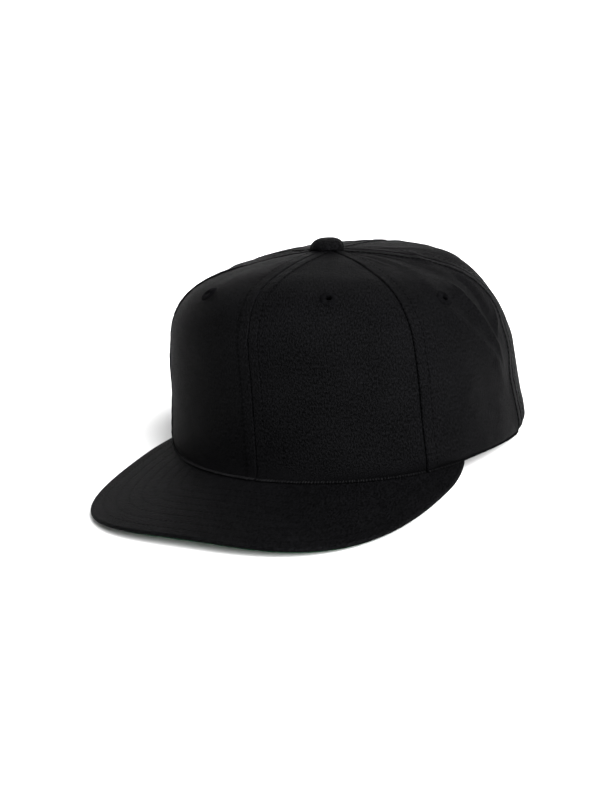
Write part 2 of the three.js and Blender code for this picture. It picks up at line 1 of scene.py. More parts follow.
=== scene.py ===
"""Six-panel snapback cap: cloth crown, flat bill, button, eyelets, sweatband and snap strap."""
import math
from typing import NamedTuple

import bpy
import numpy as np
from mathutils import Matrix, Vector
from mathutils.kdtree import KDTree


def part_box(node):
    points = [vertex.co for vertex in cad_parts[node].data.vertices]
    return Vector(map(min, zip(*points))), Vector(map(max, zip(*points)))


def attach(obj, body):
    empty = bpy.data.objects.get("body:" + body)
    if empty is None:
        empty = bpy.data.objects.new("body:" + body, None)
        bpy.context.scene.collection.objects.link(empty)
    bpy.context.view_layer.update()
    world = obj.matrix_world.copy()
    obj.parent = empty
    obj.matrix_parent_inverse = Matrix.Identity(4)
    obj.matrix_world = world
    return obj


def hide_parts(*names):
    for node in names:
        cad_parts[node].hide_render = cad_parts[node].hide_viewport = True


bl_info = {
    "name": "Snapback Cap",
    "version": (1, 0, 0),
    "blender": (4, 5, 0),
    "location": "View3D > Sidebar > Cap",
    "description": "Builds the cloth, stitching and fittings of a six-panel snapback cap",
    "category": "Add Mesh",
}

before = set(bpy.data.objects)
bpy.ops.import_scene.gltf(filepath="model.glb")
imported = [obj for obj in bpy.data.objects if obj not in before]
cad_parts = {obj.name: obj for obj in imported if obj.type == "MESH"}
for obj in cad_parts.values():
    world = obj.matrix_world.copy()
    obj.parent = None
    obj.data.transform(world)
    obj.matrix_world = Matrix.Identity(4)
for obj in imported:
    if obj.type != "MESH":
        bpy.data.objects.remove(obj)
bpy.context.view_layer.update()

MM = 0.001

# The crown's sizes, the same as the solids have
HEM_FRONT = 92.2 * MM
HEM_SIDE = 89.9 * MM
HEM_BACK = 95.2 * MM
CROWN_HEIGHT = 109.1 * MM
CROWN_LEAN = 2.3 * MM
PLAN_FRONT_POWER = 1.98
PLAN_BACK_POWER = 2.38
FRONT_CLOTH = 1.9 * MM
SOFT_CLOTH = 1.5 * MM
SEAM_GAP = 0.3 * MM
SIDE_SEAM = math.radians(54)
BACK_SEAM = math.radians(110.5)
BACK_MIDDLE = math.pi
BILL_END = math.radians(69.4)
HEM_DOWN = math.radians(128.9)
HEM_FALL_SHARE = 0.6

# The bill
BILL_LENGTH = 63.4 * MM
BILL_HALF_WIDTH = 89.7 * MM
BILL_OUTLINE_POWER = 3.2
BILL_ROOT_HEIGHT = 11.23 * MM
BILL_SLOPE = math.radians(4.55)
BILL_CURL_RADIUS = 550 * MM
BILL_BOARD = 2.1 * MM
BILL_UNDER_CLOTH = 1.0 * MM
BILL_CORNER_RUN = 30 * MM
BILL_EDGE_ROUNDING = 1.0 * MM
BILL_BOW = 1.1 * MM
BILL_UNDER_INSET = 2.6 * MM

# The button and the eyelets
BUTTON_RADIUS = 8.9 * MM
BUTTON_DOME = 5.6 * MM
BUTTON_RIM = 1.4 * MM
BUTTON_POST_RADIUS = 2.0 * MM
EYELET_HOLE_RADIUS = 1.5 * MM
EYELET_SLEEVE_RADIUS = 2.4 * MM
EYELET_RISE = 0.85 * MM

# The sweatband, the arch at the back and the strap
BAND_HEIGHT = 32 * MM
BAND_THICKNESS = 1.2 * MM
BAND_GAP = 0.6 * MM
BAND_FLOOR_GAP = 0.6 * MM
BAND_RISE_ANGLE = math.radians(10)
ARCH_HALF_WIDTH = 46 * MM
ARCH_HEIGHT = 49 * MM
ARCH_POWER = 2.2
STRAP_WIDTH = 20 * MM
STRAP_THICKNESS = 1.3 * MM
STRAP_FLOOR_GAP = 1.2 * MM
STRAP_TUCK = 14 * MM
STRAP_CORNER = 5 * MM
TONGUE_OVERLAP = 62 * MM
SNAP_COUNT = 7
SNAP_SPACING = 12.4 * MM
SNAP_RADIUS = 2.4 * MM
SNAP_HOLE_RADIUS = 3.0 * MM

NORMAL_STEP = 0.002
BISECTIONS = 34
NOISE_CELLS = 61

# Seeds of the random draws
LARGE_WAVE_SEED = 5
SMALL_WAVE_SEED = 8
BUTTON_LUMP_SEED = 21
BAND_WAVE_SEED = 31
SEAM_STITCH_SEED = 100
HEM_STITCH_SEED = 300
EYELET_SEED = 500
BILL_STITCH_SEED = 700
ARCH_STITCH_SEED = 820
BAND_STITCH_SEED = 900


class Ring(NamedTuple):
    """Section of the crown: shares of the hem's distances and of the crown's height."""
    front: float
    side: float
    back: float
    z_front: float
    z_side: float
    z_back: float


RINGS = [
    Ring(1, 1, 1, 0, 0, 0),
    Ring(0.98, 1.035, 1.109, 0.084, 0.069, 0.071),
    Ring(0.97, 1.002, 1.099, 0.3, 0.3, 0.301),
    Ring(0.958, 0.986, 0.994, 0.517, 0.52, 0.524),
    Ring(0.941, 0.917, 0.828, 0.745, 0.724, 0.692),
    Ring(0.799, 0.732, 0.65, 0.911, 0.864, 0.916),
    Ring(0.448, 0.374, 0.453, 0.983, 0.958, 0.96),
    Ring(0, 0, 0, 1, 1, 1),
]
LAST_RING_SHARE = (len(RINGS) - 2) / (len(RINGS) - 1)


class Fold(NamedTuple):
    """Ridge or hollow along a path of (angle in degrees, share of the way up)."""
    name: str
    path: tuple
    width: float
    rise: float
    creased: bool = False


# Width and rise are shares of the hem's side distance
FOLDS = [
    Fold("ridge above the eyelet", ((124, 0.845), (108, 0.805), (98, 0.765)), 0.035, 0.009, True),
    Fold("ridge down to the eyelet", ((82, 0.79), (76, 0.73), (74, 0.67)), 0.07, 0.008),
    Fold(
        "ridge below the eyelet",
        ((74, 0.63), (73, 0.592), (77.5, 0.536), (85, 0.473), (92.5, 0.393), (98, 0.3)), 0.05, 0.015, True),
    Fold(
        "ridge over the back",
        ((88, 0.7), (87, 0.62), (88.5, 0.542), (94.5, 0.456), (96, 0.415), (99, 0.35)), 0.03, 0.014, True),
    Fold("ridge by the back seam", ((104, 0.57), (101, 0.49), (97.5, 0.43)), 0.026, 0.011, True),
    Fold("hollow over the back ridge", ((98, 0.68), (94, 0.55), (98, 0.47)), 0.05, -0.014),
    Fold("hollow between the ridges", ((81, 0.63), (83, 0.55), (90, 0.46)), 0.045, -0.01),
    Fold("hollow over the ear", ((76, 0.46), (84, 0.25)), 0.17, -0.012),
    Fold("left back fullness", ((124, 0.3), (130, 0.68)), 0.2, 0.009),
    Fold("back corner fullness", ((134, 0.72), (156, 0.68)), 0.17, 0.009),
    Fold("left heel bulge", ((118, 0.17), (138, 0.15)), 0.1, 0.012),
    Fold("right side ridge", ((-96, 0.72), (-86, 0.44)), 0.1, 0.016),
    Fold("right side hollow", ((-105, 0.62), (-97, 0.42)), 0.09, -0.018),
    Fold("right side crease", ((-80, 0.6), (-92, 0.5), (-98, 0.36)), 0.035, 0.009, True),
    Fold("right back slump", ((-138, 0.72), (-158, 0.58)), 0.14, -0.014),
    Fold("right heel bulge", ((-118, 0.17), (-138, 0.15)), 0.1, 0.012),
    Fold("pull of the strap", ((180, 0.08), (180, 0.24)), 0.55, -0.09),
    Fold("shoulder of the left front", ((10, 0.79), (46, 0.77)), 0.08, 0.006),
    Fold("shoulder of the right front", ((-10, 0.8), (-24, 0.79)), 0.08, 0.005),
]
CREST_SHARE = 0.3
CREASE_STEEPNESS = 1.3
FOLD_TAPER = 14 * MM


class Panel(NamedTuple):
    """Cloth between two seams."""
    name: str
    start: float
    end: float
    cloth: float


PANELS = [
    Panel("front_panel_left", 0, SIDE_SEAM, FRONT_CLOTH),
    Panel("front_panel_right", -SIDE_SEAM, 0, FRONT_CLOTH),
    Panel("side_panel_left", SIDE_SEAM, BACK_SEAM, SOFT_CLOTH),
    Panel("side_panel_right", -BACK_SEAM, -SIDE_SEAM, SOFT_CLOTH),
    Panel("back_panel_left", BACK_SEAM, BACK_MIDDLE, SOFT_CLOTH),
    Panel("back_panel_right", -BACK_MIDDLE, -BACK_SEAM, SOFT_CLOTH),
]


class Eyelet(NamedTuple):
    """Place of an eyelet: share of the panel's angle from its front seam, and share up."""
    name: str
    panel: str
    across: float
    up: float


EYELETS = [
    Eyelet("eyelet_front", "front_panel", 0.508, 0.698),
    Eyelet("eyelet_side", "side_panel", 0.363, 0.642),
    Eyelet("eyelet_back", "back_panel", 0.46, 0.66),
]

button_low, button_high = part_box("crown_button")
AXIS = np.array([
    (button_low.x + button_high.x) / 2,
    (button_low.y + button_high.y) / 2 + CROWN_LEAN,
    0.0,
])


# Surfaces of the crown and the bill

def lerp(start, end, share):
    return start + (end - start) * share


def ease(value, low=0.0, high=1.0):
    share = np.clip((value - low) / (high - low), 0, 1)
    return share * share * (3 - 2 * share)


def along_rings(column, t):
    """Uniform Catmull-Rom through the values of one column, ends mirrored."""
    values = np.array([getattr(ring, column) for ring in RINGS], float)
    last = len(values) - 1
    place = np.clip(np.asarray(t, float) * last, 0, last)
    index = np.minimum(place.astype(int), last - 1)
    u = place - index
    b, c = values[index], values[index + 1]
    a = np.where(index > 0, values[np.maximum(index - 1, 0)], 2 * b - c)
    d = np.where(index + 2 <= last, values[np.minimum(index + 2, last)], 2 * c - b)
    square = (2 * a - 5 * b + 4 * c - d) * u ** 2
    cubic = (3 * b - a - 3 * c + d) * u ** 3
    return 0.5 * (2 * b + (c - a) * u + square + cubic)


def plan_radius(angle, front, side, back):
    ahead = np.cos(angle)
    power = lerp(PLAN_FRONT_POWER, PLAN_BACK_POWER, ease((1 - ahead) / 2))
    depth = np.maximum(np.where(ahead >= 0, front, back), 1e-9)
    lengthwise = (np.abs(ahead) / depth) ** power
    crosswise = (np.abs(np.sin(angle)) / np.maximum(side, 1e-9)) ** power
    return (lengthwise + crosswise) ** (-1 / power)


def hem_radius(angle):
    return plan_radius(angle, HEM_FRONT, HEM_SIDE, HEM_BACK)


def hem_point(angle, inset=0.0):
    radius = hem_radius(angle) - inset
    return radius * np.sin(angle), -radius * np.cos(angle)


def bill_height(x, y):
    """The bill's top slopes down forwards and curls down at its sides."""
    forward = -y - HEM_FRONT
    return BILL_ROOT_HEIGHT - math.tan(BILL_SLOPE) * forward - x ** 2 / (2 * BILL_CURL_RADIUS)


def hem_on_bill(angle):
    return bill_height(*hem_point(angle)) + SEAM_GAP


def hem_height(angle):
    """The hem stands on the bill in front and comes down to the table behind it."""
    turned = np.abs(angle)
    span = HEM_DOWN - BILL_END
    w = np.clip((turned - BILL_END) / span, 0, 1)
    slope = (hem_on_bill(BILL_END) - hem_on_bill(BILL_END - NORMAL_STEP)) / NORMAL_STEP
    fall = (2 * w ** 3 - 3 * w ** 2 + 1) * hem_on_bill(BILL_END)
    behind = fall + (w ** 3 - 2 * w ** 2 + w) * span * slope * HEM_FALL_SHARE
    return np.where(turned <= BILL_END, hem_on_bill(turned), behind)


def crown_radius(angle, t):
    front = along_rings("front", t) * HEM_FRONT
    side = along_rings("side", t) * HEM_SIDE
    back = along_rings("back", t) * HEM_BACK
    return plan_radius(angle, front, side, back)


def smooth_crown(angle, t):
    angle, t = np.broadcast_arrays(np.asarray(angle, float), np.asarray(t, float))
    radius = crown_radius(angle, t)
    ahead = np.maximum(np.cos(angle), 0) ** 2
    behind = np.maximum(-np.cos(angle), 0) ** 2
    share = along_rings("z_front", t) * ahead + along_rings("z_side", t) * np.sin(angle) ** 2
    share = share + along_rings("z_back", t) * behind
    x = radius * np.sin(angle)
    y = -radius * np.cos(angle) - CROWN_LEAN * t ** 3
    z = share * CROWN_HEIGHT + hem_height(angle) * (1 - t) ** 2
    return np.stack([x, y, z], -1)


def unit(vectors):
    return vectors / np.maximum(np.linalg.norm(vectors, axis=-1, keepdims=True), 1e-12)


def crown_normal(angle, t):
    low = np.maximum(t - NORMAL_STEP, 0)
    high = np.minimum(t + NORMAL_STEP, 1 - NORMAL_STEP)
    up = smooth_crown(angle, high) - smooth_crown(angle, low)
    around = smooth_crown(angle + NORMAL_STEP, t) - smooth_crown(angle - NORMAL_STEP, t)
    return unit(np.cross(around, up))


def line_length(points):
    return np.linalg.norm(np.diff(points, axis=0), axis=1).sum()


SIDE_CLOTH_LENGTH = line_length(smooth_crown(math.pi / 2, np.linspace(0, 1, 65)))


def nearest_on_path(path, angle, t):
    """Distance to a path on the cloth, how far along it the nearest place is, and its length."""
    distance, place, length = np.inf, 0.0, 0.0
    for start, end in zip(path, path[1:]):
        along_x = math.radians(end[0] - start[0]) * HEM_SIDE
        along_y = (end[1] - start[1]) * SIDE_CLOTH_LENGTH
        step = math.hypot(along_x, along_y)
        turn = angle - math.radians(start[0])
        x = np.arctan2(np.sin(turn), np.cos(turn)) * HEM_SIDE
        y = (t - start[1]) * SIDE_CLOTH_LENGTH
        share = np.clip((x * along_x + y * along_y) / step ** 2, 0, 1)
        here = np.hypot(x - share * along_x, y - share * along_y)
        place = np.where(here < distance, length + share * step, place)
        distance = np.minimum(here, distance)
        length += step
    return distance, place, length


def fold_rise(angle, t):
    """Rise of all the folds: rounded ones, and creases that fade towards their ends."""
    rise = np.zeros(np.broadcast(angle, t).shape)
    for fold in FOLDS:
        distance, place, length = nearest_on_path(fold.path, angle, t)
        far = distance / (fold.width * HEM_SIDE)
        profile = np.exp(-far ** 2)
        if fold.creased:
            crease = np.exp(-(np.hypot(far, CREST_SHARE) - CREST_SHARE) * CREASE_STEEPNESS)
            fade = ease(np.minimum(place, length - place), -0.4 * FOLD_TAPER, FOLD_TAPER)
            profile = crease * fade * np.exp(-(far / 3) ** 2)
        rise += fold.rise * HEM_SIDE * profile
    return rise * ease(t, 0, 1 / len(RINGS))


def last_where(low, high, holds):
    """The share of the way up at which a test that holds at the low end first fails."""
    for _ in range(BISECTIONS):
        middle = (low + high) / 2
        good = holds(middle)
        low, high = np.where(good, middle, low), np.where(good, high, middle)
    return low


def up_at_radius(angle, radius):
    low = np.full(np.shape(angle), LAST_RING_SHARE)
    return last_where(low, np.ones(np.shape(angle)), lambda t: crown_radius(angle, t) > radius)


def up_at_height(angle, height):
    low = np.zeros(np.shape(angle))
    high = np.full(np.shape(angle), LAST_RING_SHARE)
    return last_where(low, high, lambda t: smooth_crown(angle, t)[..., 2] < height)


def soft_noise(u, v, cell, seed):
    """Smooth noise from -1 to 1 with cells of one size, the same each run."""
    lattice = np.random.default_rng(seed).uniform(-1, 1, (NOISE_CELLS, NOISE_CELLS))
    x, y = u / cell, v / cell
    i, j = np.floor(x).astype(int), np.floor(y).astype(int)
    across, up = ease(x - i), ease(y - j)
    left, right = i % NOISE_CELLS, (i + 1) % NOISE_CELLS
    below, above = j % NOISE_CELLS, (j + 1) % NOISE_CELLS
    low = lerp(lattice[left, below], lattice[right, below], across)
    high = lerp(lattice[left, above], lattice[right, above], across)
    return lerp(low, high, up)


# Meshes

def add_mesh(name, vertices, faces, material, nodes=(), weave=None):
    """One named piece from points in the crown's own axes; weave holds cloth places in metres."""
    mesh = bpy.data.meshes.new(name)
    mesh.from_pydata((np.asarray(vertices) + AXIS).tolist(), [], [tuple(face) for face in faces])
    if weave is not None:
        layer = mesh.attributes.new("weave", "FLOAT_VECTOR", "POINT")
        layer.data.foreach_set("vector", np.asarray(weave, np.float32).ravel())
    mesh.shade_smooth()
    mesh.set_sharp_from_angle(angle=math.radians(65))
    mesh.materials.append(material)
    piece = bpy.data.objects.new(name, mesh)
    bpy.context.scene.collection.objects.link(piece)
    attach(piece, "root")
    if nodes:
        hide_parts(*nodes)
    return piece


def shell(outer, inner):
    """Vertices and quads of two grids of points and of the rim that joins them."""
    rows, columns = outer.shape[:2]
    count = rows * columns
    index = np.arange(count).reshape(rows, columns)
    skin = np.stack([index[:-1, :-1], index[:-1, 1:], index[1:, 1:], index[1:, :-1]], -1)
    skin = skin.reshape(-1, 4)
    rim = np.concatenate([index[0], index[1:, -1], index[-1, -2::-1], index[-2:0:-1, 0]])
    ahead = np.roll(rim, -1)
    wall = np.stack([ahead, rim, rim + count, ahead + count], -1)
    faces = np.concatenate([skin, skin[:, ::-1] + count, wall])
    return np.concatenate([outer.reshape(-1, 3), inner.reshape(-1, 3)]), faces.tolist()


def tube_faces(rings, sides):
    """Quads and end caps of one tube."""
    index = np.arange(rings * sides).reshape(rings, sides)
    ahead = np.roll(index, -1, axis=1)
    quads = np.stack([index[:-1], ahead[:-1], ahead[1:], index[1:]], -1).reshape(-1, 4).tolist()
    return quads + [index[0, ::-1].tolist(), index[-1].tolist()]


def many_tubes(centres, normals, half_width, half_height, sides=6):
    """Closed threads; centres and normals have one row for each thread and one place a ring."""
    along = unit(np.gradient(centres, axis=1))
    across = unit(np.cross(along, normals))
    upward = np.cross(across, along)
    turn = 2 * math.pi * np.arange(sides) / sides
    ring = across[:, :, None] * np.cos(turn)[:, None] * half_width[..., None, None]
    ring = ring + upward[:, :, None] * np.sin(turn)[:, None] * half_height[..., None, None]
    points = centres[:, :, None] + ring
    threads, rings = centres.shape[:2]
    one = tube_faces(rings, sides)
    faces = [[k + thread * rings * sides for k in face] for thread in range(threads) for face in one]
    return points.reshape(-1, 3), faces


def join_parts(parts):
    """Several (vertices, faces) as one."""
    vertices, faces, count = [], [], 0
    for points, polygons in parts:
        vertices.append(points)
        faces += [[k + count for k in face] for face in polygons]
        count += len(points)
    return np.concatenate(vertices), faces


def stitch_row(points, normals, thread, seed):
    """Stitches along a line on the cloth, each dipping into it at both ends."""
    steps = np.linalg.norm(np.diff(points, axis=0), axis=1)
    run = np.concatenate([[0], np.cumsum(steps)])
    count = max(int(run[-1] / thread.stitch_pitch), 1)
    pitch = run[-1] / count
    start = np.arange(count)[:, None] * pitch
    share = np.linspace(0, 1, 5)
    place = start + pitch * lerp(0.07, 0.93, share)
    centre = np.stack([np.interp(place, run, points[:, k]) for k in range(3)], -1)
    normal = unit(np.stack([np.interp(place, run, normals[:, k]) for k in range(3)], -1))
    rng = np.random.default_rng(seed)
    across = unit(np.cross(np.gradient(centre, axis=1), normal))
    sway = rng.normal(0, 0.12, (count, 1, 1)) * thread.thickness
    lift = thread.thickness * (0.62 * np.sin(math.pi * share) ** 0.6 - 0.38)
    centre = centre + normal * lift[:, None] + across * sway
    bulk = thread.thickness / 2 * np.array([0.55, 0.95, 1.0, 0.95, 0.55])
    size = bulk * rng.uniform(0.92, 1.08, (count, 1))
    return many_tubes(centre, normal, size * 1.08, size * 0.85)


def carry_weave(before, after):
    """Give each point of a cut mesh the cloth place of the nearest point it had before."""
    tree = KDTree(len(before.vertices))
    for vertex in before.vertices:
        tree.insert(vertex.co, vertex.index)
    tree.balance()
    places = np.empty(3 * len(before.vertices), np.float32)
    before.attributes["weave"].data.foreach_get("vector", places)
    nearest = [tree.find(vertex.co)[1] for vertex in after.vertices]
    layer = after.attributes.get("weave") or after.attributes.new("weave", "FLOAT_VECTOR", "POINT")
    layer.data.foreach_set("vector", places.reshape(-1, 3)[nearest].ravel())


def cut(piece, cutters):
    """Take closed cutters out of a piece."""
    for cutter in cutters:
        modifier = piece.modifiers.new("cut", "BOOLEAN")
        modifier.operation = "DIFFERENCE"
        modifier.solver = "EXACT"
        modifier.object = cutter
    graph = bpy.context.evaluated_depsgraph_get()
    mesh = bpy.data.meshes.new_from_object(piece.evaluated_get(graph))
    piece.modifiers.clear()
    old = piece.data
    if "weave" in old.attributes:
        carry_weave(old, mesh)
    piece.data = mesh
    bpy.data.meshes.remove(old)
    for cutter in cutters:
        bpy.data.objects.remove(cutter)
    mesh.name = piece.name


def cutter_from(vertices, faces):
    mesh = bpy.data.meshes.new("cutter")
    mesh.from_pydata((np.asarray(vertices) + AXIS).tolist(), [], [tuple(face) for face in faces])
    cutter = bpy.data.objects.new("cutter", mesh)
    bpy.context.scene.collection.objects.link(cutter)
    return cutter


# Sizes and colours that a user would change

class CapCloth(bpy.types.PropertyGroup):
    """Sizes and colours of the cloth."""
    black: bpy.props.FloatVectorProperty(
        name="Cloth", description="Colour of the crown and the bill", subtype="COLOR",
        default=(0.00105, 0.00105, 0.00117), min=0, max=1)
    green: bpy.props.FloatVectorProperty(
        name="Under the bill", description="Colour of the cloth under the bill", subtype="COLOR",
        default=(0.002, 0.03, 0.01), min=0, max=1)
    rib_spacing: bpy.props.FloatProperty(
        name="Rib spacing", description="Distance between the twill's slanted ribs",
        default=0.72 * MM, min=0.2 * MM, max=3 * MM, unit="LENGTH", precision=5)
    seam_rolling: bpy.props.FloatProperty(
        name="Seam rounding", description="Radius of the cloth's turned edge at a seam",
        default=0.95 * MM, min=0.2 * MM, max=1.4 * MM, unit="LENGTH", precision=5)
    allowance: bpy.props.FloatProperty(
        name="Seam allowance", description="Distance from a seam to its row of stitches",
        default=5.8 * MM, min=2 * MM, max=9 * MM, unit="LENGTH", precision=5)
    allowance_rise: bpy.props.FloatProperty(
        name="Allowance rise", description="How far the doubled cloth beside a seam stands up",
        default=0.42 * MM, min=0, max=1.2 * MM, unit="LENGTH", precision=5)
    slack: bpy.props.FloatProperty(
        name="Slack", description="Height of the small waves in the soft panels",
        default=0.35 * MM, min=0, max=2 * MM, unit="LENGTH", precision=5)


class CapThread(bpy.types.PropertyGroup):
    """Sizes and colours of the sewing thread."""
    colour: bpy.props.FloatVectorProperty(
        name="Thread", description="Colour of the rows of stitches", subtype="COLOR",
        default=(0.00055, 0.00055, 0.0006), min=0, max=1)
    eyelet_colour: bpy.props.FloatVectorProperty(
        name="Eyelet thread", description="Colour of the embroidered eyelets", subtype="COLOR",
        default=(0.0014, 0.0014, 0.0016), min=0, max=1)
    # Lighter than the other thread: a painted highlight that stands in for the light on the hem's welt
    hem_colour_painted_highlight: bpy.props.FloatVectorProperty(
        name="Hem thread, painted highlight", description="Colour of the stitches that bind the hem", subtype="COLOR",
        default=(0.0045, 0.0045, 0.0047), min=0, max=1)
    thickness: bpy.props.FloatProperty(
        name="Thickness", description="Thickness of the thread",
        default=0.5 * MM, min=0.1 * MM, max=1.5 * MM, unit="LENGTH", precision=5)
    stitch_pitch: bpy.props.FloatProperty(
        name="Stitch length", description="Distance from one stitch to the next",
        default=2.9 * MM, min=1 * MM, max=8 * MM, unit="LENGTH", precision=5)
    bill_rows: bpy.props.IntProperty(
        name="Bill rows", description="Rows of stitches along the bill's edge",
        default=8, min=0, max=10)
    bill_row_spacing: bpy.props.FloatProperty(
        name="Bill row spacing", description="Distance between the bill's rows of stitches",
        default=6.4 * MM, min=3 * MM, max=15 * MM, unit="LENGTH", precision=5)


class CapStudio(bpy.types.PropertyGroup):
    """Light, floor and camera."""
    floor: bpy.props.FloatVectorProperty(
        name="Floor", description="Colour of the floor", subtype="COLOR",
        default=(0.74, 0.74, 0.74), min=0, max=1)
    surround: bpy.props.FloatProperty(
        name="Surround", description="Brightness of the pale room near the floor",
        default=2.0, min=0, max=5)
    ceiling: bpy.props.FloatProperty(
        name="Ceiling", description="Brightness of the room overhead",
        default=0.12, min=0, max=3)
    key: bpy.props.FloatProperty(
        name="Key light", description="Strength of the soft light on the left side",
        default=14.0, min=0, max=40)
    rim: bpy.props.FloatProperty(
        name="Rim light", description="Strength of the soft light from behind",
        default=2.4, min=0, max=40)
    fill: bpy.props.FloatProperty(
        name="Fill light", description="Strength of the low soft light on the bill",
        default=1.6, min=0, max=40)
    lens: bpy.props.FloatProperty(
        name="Lens", description="Focal length", default=59.75, min=20, max=200, unit="CAMERA")


# Materials

# Cells of noise in a metre of cloth
YARN_NOISE = 1450
FUZZ_NOISE = 3000
DYE_NOISE = 38
RIB_LEAN = math.radians(28)
LINT_COLOUR = (0.3, 0.3, 0.3, 1)
BAND_THREAD_PITCH = 0.6 * MM


class Nodes:
    """Short way to add and link the nodes of one material."""

    def __init__(self, name):
        self.material = bpy.data.materials.new(name)
        self.material.use_nodes = True
        self.tree = self.material.node_tree
        self.shader = self.tree.nodes["Principled BSDF"]

    def add(self, kind, inputs=None, **settings):
        node = self.tree.nodes.new(kind)
        for key, value in settings.items():
            setattr(node, key, value)
        for key, value in (inputs or {}).items():
            self.feed(node.inputs[key], value)
        return node

    def feed(self, socket, value):
        if isinstance(value, bpy.types.NodeSocket):
            self.tree.links.new(value, socket)
        else:
            socket.default_value = value

    def math(self, operation, a, b=0.0):
        node = self.add("ShaderNodeMath", operation=operation)
        for socket, value in zip(node.inputs, (a, b)):
            self.feed(socket, value)
        return node.outputs[0]

    def dot(self, vector, direction):
        node = self.add("ShaderNodeVectorMath", {0: vector, 1: direction}, operation="DOT_PRODUCT")
        return node.outputs["Value"]

    def noise(self, vector, scale, detail=2.0, roughness=0.5):
        values = {"Vector": vector, "Scale": scale, "Detail": detail, "Roughness": roughness}
        return self.add("ShaderNodeTexNoise", values).outputs["Fac"]

    def between(self, value, low, high, new_low, new_high):
        values = {"Value": value, "From Min": low, "From Max": high, "To Min": new_low, "To Max": new_high}
        return self.add("ShaderNodeMapRange", values).outputs["Result"]

    def mix(self, share, first, second):
        node = self.add("ShaderNodeMix", data_type="RGBA")
        self.feed(node.inputs["Factor"], share)
        self.feed(node.inputs[6], first)
        self.feed(node.inputs[7], second)
        return node.outputs[2]

    def bump(self, height, distance, strength=1.0, under=None):
        values = {"Height": height, "Distance": distance, "Strength": strength}
        if under is not None:
            values["Normal"] = under
        return self.add("ShaderNodeBump", values).outputs["Normal"]

    def finish(self, **inputs):
        for key, value in inputs.items():
            self.feed(self.shader.inputs[key.replace("_", " ")], value)
        return self.material


def shade(colour, factor):
    return (*(min(c * factor, 1) for c in colour), 1)


def twill(name, colour, rib_spacing, lint=0.0):
    """Cotton twill: uneven yarns, slanted ribs, a little fuzz, faint uneven dye and rare lint."""
    n = Nodes(name)
    place = n.add("ShaderNodeAttribute", attribute_name="weave").outputs["Vector"]
    drawn = n.add("ShaderNodeVectorMath", {0: place, 1: (1.0, 0.5, 1.0)}, operation="MULTIPLY").outputs[0]
    yarn = n.between(n.noise(drawn, YARN_NOISE, 2, 0.6), 0.36, 0.64, 0, 1)
    fuzz = n.between(n.noise(place, FUZZ_NOISE, 2, 0.7), 0.34, 0.66, 0, 1)
    slant = 2 * math.pi / rib_spacing
    rib = n.dot(place, (slant * math.cos(RIB_LEAN), slant * math.sin(RIB_LEAN), 0))
    rib = n.math("SINE", n.math("ADD", rib, n.math("MULTIPLY", n.noise(place, 260, 2), 5)))
    grain = n.math("ADD", n.math("MULTIPLY", yarn, 0.7), n.math("MULTIPLY", fuzz, 0.15))
    grain = n.math("ADD", grain, n.math("MULTIPLY", n.math("ADD", rib, 1), 0.06))
    dye = n.between(n.noise(place, DYE_NOISE, 3), 0.35, 0.65, -0.06, 0.08)
    base = n.mix(n.math("ADD", grain, dye), shade(colour, 0.0), shade(colour, 3.0))
    if lint:
        specks = n.add("ShaderNodeTexVoronoi", {"Vector": place, "Scale": 55.0})
        tint = n.add("ShaderNodeSeparateColor", {0: specks.outputs["Color"]})
        rare = n.math("GREATER_THAN", tint.outputs[0], 0.9)
        small = n.math("LESS_THAN", specks.outputs["Distance"], 0.017)
        base = n.mix(n.math("MULTIPLY", n.math("MULTIPLY", rare, small), lint), base, LINT_COLOUR)
    relief = n.bump(grain, 0.4 * MM, 1.0)
    relief = n.bump(n.noise(place, 140, 3), 0.35 * MM, 0.3, relief)
    return n.finish(
        Base_Color=base, Roughness=n.between(fuzz, 0, 1, 0.66, 0.5), Normal=relief,
        Specular_IOR_Level=0.008)


def sewing_thread(name, colour):
    """Twisted thread with a soft gloss."""
    n = Nodes(name)
    place = n.add("ShaderNodeTexCoord").outputs["Object"]
    twist = n.math("SINE", n.math("MULTIPLY", n.noise(place, 900, 1), 26))
    share = n.between(n.noise(place, 420, 2), 0.3, 0.7, 0.1, 0.9)
    base = n.mix(share, shade(colour, 0.6), shade(colour, 1.7))
    return n.finish(
        Base_Color=base, Roughness=n.between(share, 0, 1, 0.7, 0.5), Specular_IOR_Level=0.006,
        Normal=n.bump(twist, 0.05 * MM, 0.7))


def band_cotton(name, colour):
    """Plain-woven cotton of the sweatband."""
    n = Nodes(name)
    place = n.add("ShaderNodeAttribute", attribute_name="weave").outputs["Vector"]
    thread = 2 * math.pi / BAND_THREAD_PITCH
    warp = n.math("SINE", n.dot(place, (thread, 0, 0)))
    weft = n.math("SINE", n.dot(place, (0, thread, 0)))
    weave = n.math("MULTIPLY", warp, weft)
    fuzz = n.noise(place, 1100, 3, 0.6)
    share = n.math("ADD", n.between(weave, -1, 1, 0.1, 0.5), n.math("MULTIPLY", fuzz, 0.5))
    base = n.mix(share, shade(colour, 0.6), shade(colour, 1.7))
    return n.finish(
        Base_Color=base, Roughness=n.between(fuzz, 0.3, 0.7, 0.98, 0.85),
        Normal=n.bump(n.math("ADD", weave, fuzz), 0.12 * MM, 0.7), Specular_IOR_Level=0.01)


def strap_plastic(name, colour):
    """Satin moulded plastic with fine handling marks."""
    n = Nodes(name)
    place = n.add("ShaderNodeTexCoord").outputs["Object"]
    grain = n.noise(place, 2600, 2)
    marks = n.noise(place, 90, 4, 0.6)
    base = n.mix(n.between(marks, 0.3, 0.7, 0, 1), shade(colour, 0.8), shade(colour, 1.35))
    return n.finish(
        Base_Color=base, Roughness=n.between(marks, 0.3, 0.7, 0.36, 0.55),
        Normal=n.bump(grain, 0.04 * MM, 0.5), Specular_IOR_Level=0.03)


